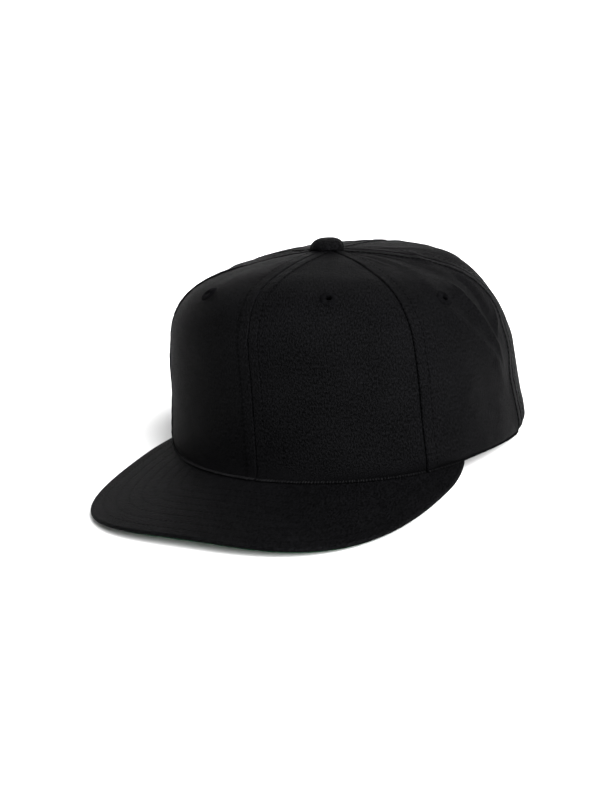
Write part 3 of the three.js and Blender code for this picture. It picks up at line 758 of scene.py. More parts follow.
def floor_paint(name, colour):
    """Matt paper of the studio floor."""
    n = Nodes(name)
    place = n.add("ShaderNodeTexCoord").outputs["Object"]
    tone = n.noise(place, 3, 2)
    base = n.mix(tone, shade(colour, 0.99), shade(colour, 1.01))
    return n.finish(
        Base_Color=base, Roughness=0.95, Specular_IOR_Level=0.1,
        Normal=n.bump(n.noise(place, 700, 2), 0.05 * MM, 0.2))


def material(name, maker, *values):
    """A material by name, made once."""
    return bpy.data.materials.get(name) or maker(name, *values)


def black_twill(cloth):
    return material("black twill", twill, cloth.black, cloth.rib_spacing, 1.0)


def black_thread(thread):
    return material("black thread", sewing_thread, thread.colour)


# Crown cloth

SEAM_ZONE = 9 * MM
SEAM_COLUMNS = 20
FIELD_COLUMN = 1.3 * MM
HEM_ROWS = 16
HEM_ZONE_SHARE = 0.045
FIELD_ROWS = 132
PANEL_GAP = 0.14 * MM
SEAM_BITE = 0.02 * MM
HEM_LEVEL_ZONE = 12 * MM
SEAM_EDGE_DEPTH = 1.25
STIFF_BAND_SHARE = 0.75
STITCH_DENT = 0.28 * MM
STITCH_DENT_WIDTH = 0.6 * MM
PUCKER_RISE = 0.1 * MM
PUCKER_REACH = 7 * MM
WELT_RISE = 1.55 * MM
WELT_HEIGHT = 2.1 * MM
WELT_WIDTH = 1.05 * MM
HEM_FOOT_DEPTH = 1.2 * MM
HEM_FOOT_HEIGHT = 1.3 * MM
HEM_LINE_DEPTH = 0.4 * MM
HEM_LINE_HEIGHT = 4.3 * MM
HEM_LINE_WIDTH = 0.75 * MM
HEM_END_FADE = 0.6 * MM
LARGE_WAVE = 13 * MM
SMALL_WAVE = 6 * MM
ARCH_CUT_FOOT = 6 * MM
EYELET_CUT_REACH = 6 * MM


def seam_profile(distance, along, cloth, stiff, sewn, pitch):
    """Height of the cloth beside a seam: a rolled edge, a doubled band and its stitch line."""
    roll = cloth.seam_rolling
    inside = np.clip(roll - distance, 0, roll)
    edge = -(roll - np.sqrt(np.maximum(roll ** 2 - inside ** 2, 0))) * SEAM_EDGE_DEPTH
    rise = cloth.allowance_rise * (STIFF_BAND_SHARE if stiff else 1.0) * sewn
    band = rise * (1 - ease(distance, cloth.allowance - 0.4 * MM, cloth.allowance + 1.0 * MM))
    pull = 0.6 + 0.4 * np.cos(2 * math.pi * along / pitch)
    line = -STITCH_DENT * np.exp(-((distance - cloth.allowance) / STITCH_DENT_WIDTH) ** 2) * pull * sewn
    pucker = PUCKER_RISE * np.cos(2 * math.pi * along / (2.2 * pitch)) * np.exp(-distance / PUCKER_REACH)
    return edge + band + line + pucker * ease(distance, 0, 1.5 * MM)


def hem_profile(height, along, pitch):
    """The turned hem: a welt that overhangs its own foot, with a line drawn in above it."""
    welt = WELT_RISE * np.exp(-((height - WELT_HEIGHT) / WELT_WIDTH) ** 2)
    foot = -HEM_FOOT_DEPTH * (1 - ease(height, 0, HEM_FOOT_HEIGHT))
    pull = 0.8 + 0.2 * np.cos(2 * math.pi * along / pitch)
    line = -HEM_LINE_DEPTH * np.exp(-((height - HEM_LINE_HEIGHT) / HEM_LINE_WIDTH) ** 2) * pull
    return welt + foot + line


def panel_width(panel, t):
    middle = (panel.start + panel.end) / 2
    return crown_radius(middle, t) * (panel.end - panel.start)


def cloth_height(panel, angle, t, cloth, thread):
    """Height of a panel's outer face over the smooth crown."""
    radius = crown_radius(angle, t)
    up = t * SIDE_CLOTH_LENGTH
    from_start = (angle - panel.start) * radius
    from_end = (panel.end - angle) * radius
    stiff = panel.cloth == FRONT_CLOTH
    pitch = thread.stitch_pitch
    height = fold_rise(angle, t)
    for distance, seam in ((from_start, panel.start), (from_end, panel.end)):
        # The front panels are sewn down along the centre seam alone
        sewn = 0.0 if stiff and seam != 0 else 1.0
        profile = seam_profile(np.maximum(distance, 0), up, cloth, stiff, sewn, pitch)
        room = ease(from_start + from_end, 0, 2 * cloth.allowance)
        height = height + profile * lerp(0.3, 1.0, room)
    around = angle * HEM_SIDE
    fade = ease(from_start, 0, HEM_END_FADE) * ease(from_end, 0, HEM_END_FADE)
    height = height + hem_profile(up, around, pitch) * fade
    slack = cloth.slack * (0.3 if stiff else 1.0) * ease(up, 4 * MM, 20 * MM)
    large = soft_noise(around, up, LARGE_WAVE, LARGE_WAVE_SEED)
    small = soft_noise(around, up, SMALL_WAVE, SMALL_WAVE_SEED)
    return height + slack * (large + 0.5 * small) * ease(1 - t, 0, 0.12)


def cloth_point(panel, angle, t, cloth, thread, lift=0.0):
    """A point of a panel's outer face and the direction away from it."""
    normal = crown_normal(angle, t)
    level = unit(normal * np.array([1.0, 1.0, 0.0]))
    upright = 1 - ease(np.asarray(t) * SIDE_CLOTH_LENGTH, 2 * MM, HEM_LEVEL_ZONE)
    normal = unit(lerp(normal, level, upright[..., None]))
    height = cloth_height(panel, angle, t, cloth, thread) + lift
    return smooth_crown(angle, t) + normal * height[..., None], normal


def panel_grid(panel, gap):
    """Angles and shares of the way up of a panel's grid, with columns that keep to the seams."""
    rows = np.concatenate([
        np.linspace(0, HEM_ZONE_SHARE, HEM_ROWS),
        np.linspace(HEM_ZONE_SHARE, 1, FIELD_ROWS)[1:],
    ])
    top = up_at_radius(np.array([(panel.start + panel.end) / 2]), BUTTON_POST_RADIUS + SEAM_GAP)
    rows = (rows * top)[:, None]
    width = panel_width(panel, rows)
    radius = width / (panel.end - panel.start)
    zone = np.minimum(SEAM_ZONE, 0.42 * width)
    near = gap + zone * (np.arange(SEAM_COLUMNS) / SEAM_COLUMNS)[None] ** 1.5
    field = int(HEM_BACK * (panel.end - panel.start) / FIELD_COLUMN)
    share = np.linspace(0, 1, field)[None]
    low, high = panel.start + (gap + zone) / radius, panel.end - (gap + zone) / radius
    angles = np.concatenate([
        panel.start + near / radius,
        lerp(low, high, share),
        panel.end - near[:, ::-1] / radius,
    ], axis=1)
    return angles, np.broadcast_to(rows, angles.shape)


def eyelet_places():
    """Name, panel, angle and share up of each eyelet."""
    for row in EYELETS:
        for hand in ("left", "right"):
            panel = next(p for p in PANELS if p.name == f"{row.panel}_{hand}")
            share = row.across if hand == "left" else 1 - row.across
            yield f"{row.name}_{hand}", panel, lerp(panel.start, panel.end, share), row.up


def eyelet_axes(panel, angle, up, cloth, thread):
    """Centre, round, upward and outward directions of an eyelet."""
    centre, normal = cloth_point(panel, np.array(angle), np.array(up), cloth, thread)
    beside, _ = cloth_point(panel, np.array(angle + NORMAL_STEP), np.array(up), cloth, thread)
    around = beside - centre
    around = unit(around - normal * np.dot(around, normal))
    return centre, around, np.cross(normal, around), normal


def round_cutter(centre, around, upward, normal, radius, reach, sides=36):
    turn = 2 * math.pi * np.arange(sides) / sides
    ring = centre + radius * (np.cos(turn)[:, None] * around + np.sin(turn)[:, None] * upward)
    points = np.concatenate([ring - normal * reach, ring + normal * reach])
    return cutter_from(points, tube_faces(2, sides))


def arch_outline(steps, beyond=0.0):
    """Places (x, z) along the arch, at a distance out from its opening."""
    turn = np.linspace(0, math.pi, steps)
    power = 2 / ARCH_POWER
    x = ARCH_HALF_WIDTH * np.abs(np.cos(turn)) ** power * np.sign(np.cos(turn))
    z = ARCH_HEIGHT * np.sin(turn) ** power
    away = np.stack([np.gradient(z), -np.gradient(x)], -1)
    away = away / np.linalg.norm(away, axis=1, keepdims=True)
    return x + away[:, 0] * beyond, z + away[:, 1] * beyond


def arch_cutter():
    """Block in the shape of the arch, from inside the crown to behind it and down past the hem."""
    x, z = arch_outline(121)
    x = np.concatenate([x, [-ARCH_HALF_WIDTH, ARCH_HALF_WIDTH]])
    z = np.concatenate([z, [-ARCH_CUT_FOOT, -ARCH_CUT_FOOT]])
    near = np.stack([x, np.full(len(x), HEM_BACK / 2), z], -1)
    far = np.stack([x, np.full(len(x), 1.4 * HEM_BACK), z], -1)
    return cutter_from(np.concatenate([far, near]), tube_faces(2, len(x)))


def build_panels(cloth, thread):
    for panel in PANELS:
        angles, rows = panel_grid(panel, PANEL_GAP)
        outer, _ = cloth_point(panel, angles, rows, cloth, thread)
        shut, _ = panel_grid(panel, -SEAM_BITE)
        depth = panel.cloth - fold_rise(shut, rows)
        inner = smooth_crown(shut, rows) - crown_normal(shut, rows) * depth[..., None]
        vertices, faces = shell(outer, inner)
        middle = (panel.start + panel.end) / 2
        across = (angles - middle) * crown_radius(angles, rows)
        flat = np.stack([across, rows * SIDE_CLOTH_LENGTH, np.zeros(across.shape)], -1)
        weave = np.concatenate([flat.reshape(-1, 3)] * 2)
        piece = add_mesh(
            f"{panel.name}_cloth", vertices, faces, black_twill(cloth), [panel.name], weave)
        cutters = []
        for _, owner, angle, up in eyelet_places():
            if owner is panel:
                axes = eyelet_axes(panel, angle, up, cloth, thread)
                cutters.append(round_cutter(*axes, EYELET_SLEEVE_RADIUS * 0.8, EYELET_CUT_REACH))
        if panel.name.startswith("back"):
            cutters.append(arch_cutter())
        cut(piece, cutters)


def crown_seams():
    """The panels on the two sides of each seam, round from the centre seam."""
    ring = sorted(PANELS, key=lambda panel: panel.start % (2 * math.pi))
    return zip(ring[-1:] + ring[:-1], ring)


def arch_height_at(x):
    """Height of the arch's opening above the table at a distance from the middle."""
    share = np.clip(np.abs(x) / ARCH_HALF_WIDTH, 0, 1)
    return ARCH_HEIGHT * (1 - share ** ARCH_POWER) ** (1 / ARCH_POWER)


ARCH_CLEARANCE = 8 * MM
HEM_STITCH_PITCH = 1.45 * MM
HEM_STITCH_MARGIN = 1.2 * MM
HEM_STITCH_END_GAP = 9 * MM

# Least and most of each hem stitch, in millimetres
HEM_STITCH_SWAY = (-0.25, 0.25)
HEM_STITCH_FOOT = (1.1, 1.6)
HEM_STITCH_HEAD = (3.4, 4.5)
HEM_STITCH_SLANT = (0.1, 0.75)


def build_seam_stitches(cloth, thread):
    parts = []
    for number, (before, after) in enumerate(crown_seams()):
        for panel, seam, side in ((before, before.end, -1), (after, after.start, 1)):
            if panel.cloth == FRONT_CLOTH and seam != 0:
                continue
            t = np.linspace(0.028, 0.965, 420)
            angle = seam + side * cloth.allowance / crown_radius(seam, t)
            points, normals = cloth_point(panel, angle, t, cloth, thread)
            clear = np.hypot(points[:, 0], points[:, 1] + CROWN_LEAN) > BUTTON_RADIUS * 0.9
            if panel.name.startswith("back"):
                clear &= points[:, 2] > arch_height_at(points[:, 0]) + ARCH_CLEARANCE
            seed = SEAM_STITCH_SEED + 2 * number + side
            parts.append(stitch_row(points[clear], normals[clear], thread, seed))
    vertices, faces = join_parts(parts)
    add_mesh("seam_stitches", vertices, faces, black_thread(thread))


def build_hem_stitches(cloth, thread):
    """Short slanted threads that bind the hem's welt, in a lighter thread that is a painted highlight on the
    welt.
    """
    parts = []
    reach = math.pi - math.asin((ARCH_HALF_WIDTH + HEM_STITCH_END_GAP) / HEM_BACK)
    share = np.linspace(0, 1, 6)
    for number, panel in enumerate(PANELS):
        rng = np.random.default_rng(HEM_STITCH_SEED + number)
        start, end = max(panel.start, -reach), min(panel.end, reach)
        margin = HEM_STITCH_MARGIN / HEM_SIDE
        count = int((end - start) * HEM_SIDE / HEM_STITCH_PITCH)
        place = np.linspace(start + margin, end - margin, count)[:, None]
        place = place + rng.uniform(*HEM_STITCH_SWAY, (count, 1)) * MM / HEM_SIDE
        low = rng.uniform(*HEM_STITCH_FOOT, (count, 1)) * MM
        high = rng.uniform(*HEM_STITCH_HEAD, (count, 1)) * MM
        slant = rng.uniform(*HEM_STITCH_SLANT, (count, 1)) * MM / HEM_SIDE
        angle = np.clip(place + slant * (share - 0.5), start + 0.3 * margin, end - 0.3 * margin)
        t = lerp(low, high, share) / SIDE_CLOTH_LENGTH
        lift = thread.thickness * (0.5 * np.sin(math.pi * share) ** 0.6 - 0.3) * np.ones((count, 1))
        centres, normals = cloth_point(panel, angle, t, cloth, thread, lift)
        size = thread.thickness / 2 * np.array([0.5, 0.9, 1.0, 1.0, 0.9, 0.5]) * np.ones((count, 1))
        parts.append(many_tubes(centres, normals, size, size * 0.8))
    vertices, faces = join_parts(parts)
    # The hem thread is lighter than the cloth: a painted highlight that makes the welt read as lit
    binding = material("hem thread", sewing_thread, thread.hem_colour_painted_highlight)
    add_mesh("hem_stitches", vertices, faces, binding)


# Eyelets

EYELET_THREADS = 46
EYELET_CORE_SIDES = 48

# Sections of an eyelet's threads and core: shares of the hole's radius and of the rise
THREAD_SECTION = [
    (0.93, -1.5), (0.9, -0.5), (0.98, 0.35), (1.25, 0.85), (1.8, 1.0), (2.35, 0.72), (2.82, 0.2),
    (2.88, -0.3),
]
CORE_SECTION = [
    (0.97, -1.6), (0.98, 0.1), (1.3, 0.62), (1.8, 0.78), (2.4, 0.48), (2.75, -0.2), (1.6, -0.3),
    (1.25, -1.6),
]


def on_eyelet(panel, angle, up, out, turn, lift, cloth, thread):
    """Points round an eyelet that follow the cloth's own curve."""
    centre, around, upward, _ = eyelet_axes(panel, angle, up, cloth, thread)
    step, _ = cloth_point(panel, np.array(angle), np.array(up + NORMAL_STEP), cloth, thread)
    beside, _ = cloth_point(panel, np.array(angle + NORMAL_STEP), np.array(up), cloth, thread)
    up_rate = np.dot(step - centre, upward) / NORMAL_STEP
    skew = np.dot(step - centre, around) / NORMAL_STEP
    round_rate = np.dot(beside - centre, around) / NORMAL_STEP
    rise = out * np.sin(turn) / up_rate
    swing = (out * np.cos(turn) - skew * rise) / round_rate
    return cloth_point(panel, angle + swing, up + rise, cloth, thread, lift)


def build_eyelets(cloth, thread):
    yarn = material("eyelet thread", sewing_thread, thread.eyelet_colour)
    out, lift = np.array(THREAD_SECTION).T * np.array([[EYELET_HOLE_RADIUS], [EYELET_RISE]])
    core_turn = np.linspace(0, 2 * math.pi, EYELET_CORE_SIDES + 1)[:-1]
    core = np.array(CORE_SECTION)[:, :, None] * np.ones(EYELET_CORE_SIDES)
    core_turns = core_turn[None] * np.ones((len(CORE_SECTION), 1))
    for number, (name, panel, angle, up) in enumerate(eyelet_places()):
        rng = np.random.default_rng(EYELET_SEED + number)
        sway = rng.uniform(-0.16, 0.16, EYELET_THREADS)
        turn = 2 * math.pi * (np.arange(EYELET_THREADS) + sway) / EYELET_THREADS
        length = rng.uniform(0.94, 1.06, (EYELET_THREADS, 1))
        reach = out * np.where(out > 1.5 * EYELET_HOLE_RADIUS, length, 1.0)
        turns = np.broadcast_to(turn[:, None], reach.shape)
        lifts = np.broadcast_to(lift, reach.shape)
        centres, normals = on_eyelet(panel, angle, up, reach, turns, lifts, cloth, thread)
        half = np.clip(reach * math.pi / EYELET_THREADS * 1.02, 0.1 * MM, 0.3 * MM)
        parts = [many_tubes(centres, normals, half, np.full(half.shape, 0.17 * MM))]
        core_out, core_lift = core[:, 0] * EYELET_HOLE_RADIUS, core[:, 1] * EYELET_RISE
        ring, _ = on_eyelet(panel, angle, up, core_out, core_turns, core_lift, cloth, thread)
        parts.append(closed_ring(ring))
        vertices, faces = join_parts(parts)
        add_mesh(f"{name}_thread", vertices, faces, yarn, [name])


def closed_ring(grid):
    """A grid that closes both ways."""
    rows, columns = grid.shape[:2]
    index = np.arange(rows * columns).reshape(rows, columns)
    ahead, above = np.roll(index, -1, axis=1), np.roll(index, -1, axis=0)
    corner = np.roll(ahead, -1, axis=0)
    quads = np.stack([index, above, corner, ahead], -1).reshape(-1, 4)
    return grid.reshape(-1, 3), quads.tolist()


# Button

BUTTON_SIDES = 120
BUTTON_PUCKERS = 13
BUTTON_PUCKER_RISE = 0.12 * MM
BUTTON_LUMP_RISE = 0.09 * MM
BUTTON_LUMP_SIZE = 2.2 * MM


def build_button(cloth):
    apex = smooth_crown(0.0, 1.0)
    turn = 2 * math.pi * np.arange(BUTTON_SIDES) / BUTTON_SIDES
    profile = [(0.02, 0.35, 1.0), (0.5, 0.35, 1.0), (0.9, 0.3, 1.0), (0.965, 0.5, 1.0), (0.99, 0.9, 0.95)]
    for lean in np.linspace(0, math.pi / 2, 26)[:-1]:
        share = math.cos(lean) ** 0.72
        height = lerp(BUTTON_RIM, BUTTON_DOME, math.sin(lean)) / MM
        profile.append((max(share, 0.02), height, 0.8 * (1 - math.sin(lean))))
    rings = []
    for share, height, follow in profile:  # height in millimetres
        out = share * BUTTON_RADIUS
        drop = smooth_crown(turn, up_at_radius(turn, np.full(turn.shape, out)))[:, 2] - apex[2]
        gather = np.cos(BUTTON_PUCKERS * turn + 0.6 * np.sin(3 * turn)) * ease(share, 0.62, 1.0)
        radius = out * (1 + 0.012 * gather)
        east, north = out * np.sin(turn), out * np.cos(turn)
        lumps = BUTTON_LUMP_RISE * soft_noise(east, north, BUTTON_LUMP_SIZE, BUTTON_LUMP_SEED)
        level = apex[2] + height * MM + follow * drop + BUTTON_PUCKER_RISE * gather + lumps
        rings.append(np.stack([apex[0] + radius * np.sin(turn), apex[1] - radius * np.cos(turn), level], -1))
    vertices = np.concatenate(rings)
    faces = tube_faces(len(profile), BUTTON_SIDES)
    add_mesh(
        "crown_button_cloth", vertices, faces, black_twill(cloth), ["crown_button"],
        vertices - apex)


# Bill

BILL_COLUMNS = 260
BILL_FIELD_ROWS = 54
BILL_UNDER_ROWS = 20
BILL_LAYER_GAP = 0.12 * MM
BILL_UNDER_ROUNDING = 0.4 * MM
BILL_CHANNEL_DEPTH = 0.07 * MM
BILL_CHANNEL_WIDTH = 0.8 * MM
BILL_STITCH_SINK = 0.19 * MM
BILL_ROOT_CLEARANCE = 2.2 * MM
FEWEST_ROW_PLACES = 20
FEWEST_RUN_PLACES = 12
LEAST_GAP = 3 * MM


def bill_edge(turn):
    """Outer edge of the bill at a turn from straight ahead, -1 to 1 from side to side."""
    end_x, end_y = hem_point(BILL_END)
    reach = HEM_FRONT + BILL_LENGTH + end_y
    angle = turn * math.pi / 2
    across = (np.abs(np.sin(angle)) / BILL_HALF_WIDTH) ** BILL_OUTLINE_POWER
    ahead = (np.abs(np.cos(angle)) / reach) ** BILL_OUTLINE_POWER
    radius = (across + ahead) ** (-1 / BILL_OUTLINE_POWER)
    forward = radius * np.cos(angle)
    corner = np.clip(1 - forward / BILL_CORNER_RUN, 0, 1) ** 2
    x = radius * np.sin(angle) - np.sign(turn) * corner * (BILL_HALF_WIDTH - end_x)
    return np.stack([x, end_y - forward], -1)


def bill_outline(count=900):
    """Evenly spaced points of the bill's edge with directions away from it."""
    turn = np.linspace(-1, 1, 2400)
    line = bill_edge(turn)
    run = np.concatenate([[0], np.cumsum(np.linalg.norm(np.diff(line, axis=0), axis=1))])
    even = np.linspace(0, run[-1], count)
    points = np.stack([np.interp(even, run, line[:, k]) for k in range(2)], -1)
    along = unit(np.gradient(points, axis=0))
    return points, np.stack([along[:, 1], -along[:, 0]], -1)


def edge_distance(points):
    outline, _ = bill_outline()
    flat = points.reshape(-1, 2)
    nearest = [np.min(np.hypot(*(outline - place).T)) for place in flat]
    return np.array(nearest).reshape(points.shape[:-1])


def bill_row_distances(thread):
    return [(k + 1) * thread.bill_row_spacing for k in range(thread.bill_rows)]


def bill_relief(distance, thread):
    """Shallow channels under the bill's rows of stitches."""
    height = np.zeros(distance.shape)
    for row in bill_row_distances(thread):
        height -= BILL_CHANNEL_DEPTH * np.exp(-((distance - row) / BILL_CHANNEL_WIDTH) ** 2)
    return height


def bill_top_height(x, y):
    """The bill's top with the slight upward bow of its front."""
    forward = np.clip(-y - HEM_FRONT, 0, None) / BILL_LENGTH
    return bill_height(x, y) + BILL_BOW * forward ** 2


def bill_place(turn, share, inset):
    """Plan place between the bill's root (0) and its edge (1) less an inset."""
    root = np.stack(hem_point(turn * BILL_END, FRONT_CLOTH), -1)
    edge = bill_edge(turn)
    width = np.linalg.norm(edge - root, axis=-1)
    trim = np.minimum(inset / width, 0.3)
    return lerp(root, edge, (share * (1 - trim))[..., None])


def bill_slab(upper, lower, inset, rounding, rows, relief):
    """Closed slab of the bill: a skin, a rounded edge and an underside, section by section."""
    turn = np.linspace(-1, 1, BILL_COLUMNS)
    section = [(share, inset + rounding, 0.0) for share in np.linspace(0, 1, rows)]
    thick = lower - upper
    for lean in np.linspace(0, math.pi / 2, 7)[1:]:
        section.append((1.0, inset + rounding * (1 - math.sin(lean)), rounding * (1 - math.cos(lean))))
    low = min(rounding, thick - rounding)
    for lean in np.linspace(0, math.pi / 2, 4)[:-1]:
        section.append((1.0, inset + low * (1 - math.cos(lean)), thick - low * (1 - math.sin(lean))))
    section += [(share, inset + low, thick) for share in np.linspace(1, 0, max(rows // 3, 4))]
    places, heights = [], []
    for share, trim, drop in section:
        place = bill_place(turn, np.full(turn.shape, share), trim)
        places.append(place)
        heights.append(bill_top_height(place[:, 0], place[:, 1]) - upper - drop)
    places, heights = np.stack(places, 1), np.stack(heights, 1)
    if relief is not None:
        skin = slice(0, rows)
        heights[:, skin] += relief(edge_distance(places[:, skin]))
    return np.concatenate([places, heights[..., None]], -1)


def slab_mesh(grid):
    """Vertices and faces of closed sections in a row; the end sections are filled."""
    columns, around = grid.shape[:2]
    index = np.arange(columns * around).reshape(columns, around)
    ahead = np.roll(index, -1, axis=1)
    quads = np.stack([index[:-1], index[1:], ahead[1:], ahead[:-1]], -1).reshape(-1, 4)
    faces = quads.tolist() + [index[0].tolist(), index[-1, ::-1].tolist()]
    return grid.reshape(-1, 3), faces


def build_bill(cloth, thread):
    top = bill_slab(
        0, BILL_BOARD, 0, BILL_EDGE_ROUNDING, BILL_FIELD_ROWS,
        lambda distance: bill_relief(distance, thread))
    vertices, faces = slab_mesh(top)
    add_mesh(
        "bill_top_cloth", vertices, faces, black_twill(cloth), ["bill_top"], vertices)
    under = bill_slab(
        BILL_BOARD + BILL_LAYER_GAP, BILL_BOARD + SEAM_GAP + BILL_UNDER_CLOTH, BILL_UNDER_INSET,
        BILL_UNDER_ROUNDING, BILL_UNDER_ROWS, None)
    vertices, faces = slab_mesh(under)
    green = material("green twill", twill, cloth.green, cloth.rib_spacing, 0.0)
    add_mesh("bill_under_cloth", vertices, faces, green, ["bill_under"], vertices)


def build_bill_stitches(thread):
    """Rows along the bill's edge, each cut short where it would meet the crown."""
    parts = []
    outline, away = bill_outline()
    for number, row in enumerate(bill_row_distances(thread)):
        places = outline - away * row
        hem = hem_radius(np.arctan2(places[:, 0], -places[:, 1]))
        clear = edge_distance(places) > row - 0.15 * MM
        clear &= np.hypot(*places.T) > hem + BILL_ROOT_CLEARANCE
        places = places[clear]
        if len(places) < FEWEST_ROW_PLACES:
            continue
        height = bill_top_height(places[:, 0], places[:, 1]) - BILL_STITCH_SINK
        points = np.concatenate([places, height[:, None]], -1)
        normals = np.broadcast_to(np.array([0, 0, 1.0]), points.shape)
        for half in split_where_far(points):
            parts.append(stitch_row(points[half], normals[half], thread, BILL_STITCH_SEED + number))
    vertices, faces = join_parts(parts)
    add_mesh("bill_stitches", vertices, faces, black_thread(thread))


def split_where_far(points):
    """Runs of a line between gaps."""
    steps = np.linalg.norm(np.diff(points, axis=0), axis=1)
    breaks = np.flatnonzero(steps > LEAST_GAP) + 1
    edges = [0, *breaks.tolist(), len(points)]
    return [slice(a, b) for a, b in zip(edges, edges[1:]) if b - a > FEWEST_RUN_PLACES]


# Arch binding, sweatband and strap

def arch_surface(x, z, depth):
    """Points of the crown's back over places (x, z), at a depth below its outside."""
    angle = np.full(x.shape, math.pi) - x / HEM_BACK
    t = np.zeros(x.shape)
    for _ in range(14):
        t = up_at_height(angle, z)
        ratio = np.clip(x / crown_radius(angle, t), -1, 1)
        angle = math.pi - np.arcsin(ratio)
    rise = fold_rise(angle, t)
    return smooth_crown(angle, t) + crown_normal(angle, t) * (rise - depth)[..., None]


BINDING_LEG = 7 * MM
BINDING_TAPE = 0.5 * MM
BINDING_LIFT = 0.03 * MM
BINDING_STEPS = 150
BINDING_ROWS = (5.6 * MM, 1.4 * MM)


def binding_section():
    """Section of the folded tape: distance out from the opening, and depth below the crown."""
    leg, tape, lift, inside = BINDING_LEG, BINDING_TAPE, BINDING_LIFT, SOFT_CLOTH
    return [
        (leg, lift), (leg, -tape * 0.7), (leg - 0.3 * MM, -tape), (leg * 0.5, -tape * 1.1),
        (0.8 * MM, -tape), (0.0, -tape * 0.85), (-tape * 0.9, -tape * 0.1), (-tape * 1.2, inside * 0.5),
        (-tape * 0.9, inside + tape * 0.1), (0.0, inside + tape * 0.85), (leg * 0.5, inside + tape),
        (leg, inside + tape * 0.8), (leg, inside + lift), (0.2 * MM, inside + lift),
        (-tape * 0.3, inside * 0.5), (0.2 * MM, lift),
    ]


def build_arch_binding(cloth):
    section = binding_section()
    even = np.linspace(0, 1, BINDING_STEPS)
    keep = np.linspace(0.004, 0.996, BINDING_STEPS)
    loops = []
    for beyond, depth in section:
        x, z = arch_outline(BINDING_STEPS, beyond)
        x = np.interp(keep, even, x)
        z = np.maximum(np.interp(keep, even, z), 0.5 * MM)
        loops.append(arch_surface(x, z, np.full(x.shape, depth)))
    grid = np.stack(loops, 1)
    vertices, faces = slab_mesh(grid)
    run = np.concatenate([[0], np.cumsum(np.linalg.norm(np.diff(grid[:, 0], axis=0), axis=1))])
    across = np.array([row[0] for row in section])
    flat = np.stack(np.broadcast_arrays(run[:, None], across[None], 0.0), -1)
    add_mesh(
        "arch_binding", vertices, faces, black_twill(cloth), (), flat.reshape(-1, 3))


def build_arch_stitches(thread):
    parts = []
    for beyond in BINDING_ROWS:
        x, z = arch_outline(400, beyond)
        points = arch_surface(x, z, np.full(x.shape, -BINDING_TAPE * 1.02))
        high = z > 1.5 * MM
        normals = unit(points * np.array([1, 1, 0.25]))
        parts.append(stitch_row(points[high], normals[high], thread, ARCH_STITCH_SEED))
    vertices, faces = join_parts(parts)
    add_mesh("arch_stitches", vertices, faces, black_thread(thread))


def band_reach():
    return math.pi - math.asin(ARCH_HALF_WIDTH / HEM_BACK)


def band_wall(angle, share, depth):
    """Point of the sweatband's outer face at a share of its height, less a depth."""
    inside_cloth = FRONT_CLOTH + BAND_GAP
    inside_strap = SOFT_CLOTH + SEAM_GAP + 2 * STRAP_THICKNESS + BAND_GAP
    step = math.radians(6)
    strap_start = band_reach() - STRAP_TUCK / HEM_BACK - step
    turned = np.abs(angle)
    inset = lerp(inside_cloth, inside_strap, ease(turned, strap_start - step, strap_start))
    behind = ease(turned, BILL_END - BAND_RISE_ANGLE, BILL_END)
    bill_depth = BILL_BOARD + SEAM_GAP + BILL_UNDER_CLOTH
    foot = hem_height(angle) + lerp(-SEAM_GAP - bill_depth, BAND_FLOOR_GAP, behind)
    height = lerp(foot, BAND_HEIGHT, share)
    t = up_at_height(angle, height)
    radius = np.minimum(crown_radius(angle, t), hem_radius(angle)) - inset - depth
    return np.stack([radius * np.sin(angle), -radius * np.cos(angle), height], -1)


BAND_COLUMNS = 420
BAND_ROWS = 34
BAND_FOLD = 0.35 * MM
BAND_SLACK = 0.16 * MM
BAND_WAVE = 9 * MM
BAND_STITCH_ROWS = (0.1, 0.9)


def build_sweatband(cloth):
    reach = band_reach()
    angle = np.linspace(-reach, reach, BAND_COLUMNS)[None] * np.ones((BAND_ROWS, 1))
    share = np.linspace(0, 1, BAND_ROWS)[:, None] * np.ones((1, BAND_COLUMNS))
    along = angle * HEM_SIDE
    fold = BAND_FOLD * np.exp(-((share - 0.97) / 0.03) ** 2)
    fold = fold + BAND_FOLD * np.exp(-((share - 0.04) / 0.04) ** 2)
    waves = BAND_SLACK * soft_noise(along, share * BAND_HEIGHT, BAND_WAVE, BAND_WAVE_SEED)
    outer = band_wall(angle, share, 0.15 * MM + np.maximum(waves, 0))
    inner = band_wall(angle, share, BAND_THICKNESS - 0.1 * MM + fold + waves)
    vertices, faces = shell(outer, inner)
    flat = np.stack([along, share * BAND_HEIGHT, np.zeros(along.shape)], -1).reshape(-1, 3)
    cotton = material("band cotton", band_cotton, cloth.black)
    weave = np.concatenate([flat, flat])
    add_mesh("sweatband_cloth", vertices, faces, cotton, ["sweatband"], weave)


def build_band_stitches(thread):
    reach = band_reach()
    parts = []
    for number, share in enumerate(BAND_STITCH_ROWS):
        angle = np.linspace(-reach * 0.985, reach * 0.985, 900)
        points = band_wall(angle, np.full(angle.shape, share), BAND_THICKNESS + 0.02 * MM)
        normals = unit(points * np.array([-1, -1, 0]))
        parts.append(stitch_row(points, normals, thread, BAND_STITCH_SEED + number))
    vertices, faces = join_parts(parts)
    add_mesh("sweatband_stitches", vertices, faces, black_thread(thread))


def strap_place(along, depth, height):
    """Place on the strap: distance round from the middle, depth inside it, height."""
    angle = math.pi + along / HEM_BACK
    x, y = hem_point(angle, SOFT_CLOTH + SEAM_GAP + STRAP_THICKNESS + depth)
    return np.stack([x, y, np.broadcast_to(height, x.shape)], -1)


STRAP_BEVEL = 0.3 * MM
STRAP_RIM = 0.22 * MM
STRAP_RIM_FOOT = 1.3 * MM
STRAP_RIM_TOP = 1.7 * MM


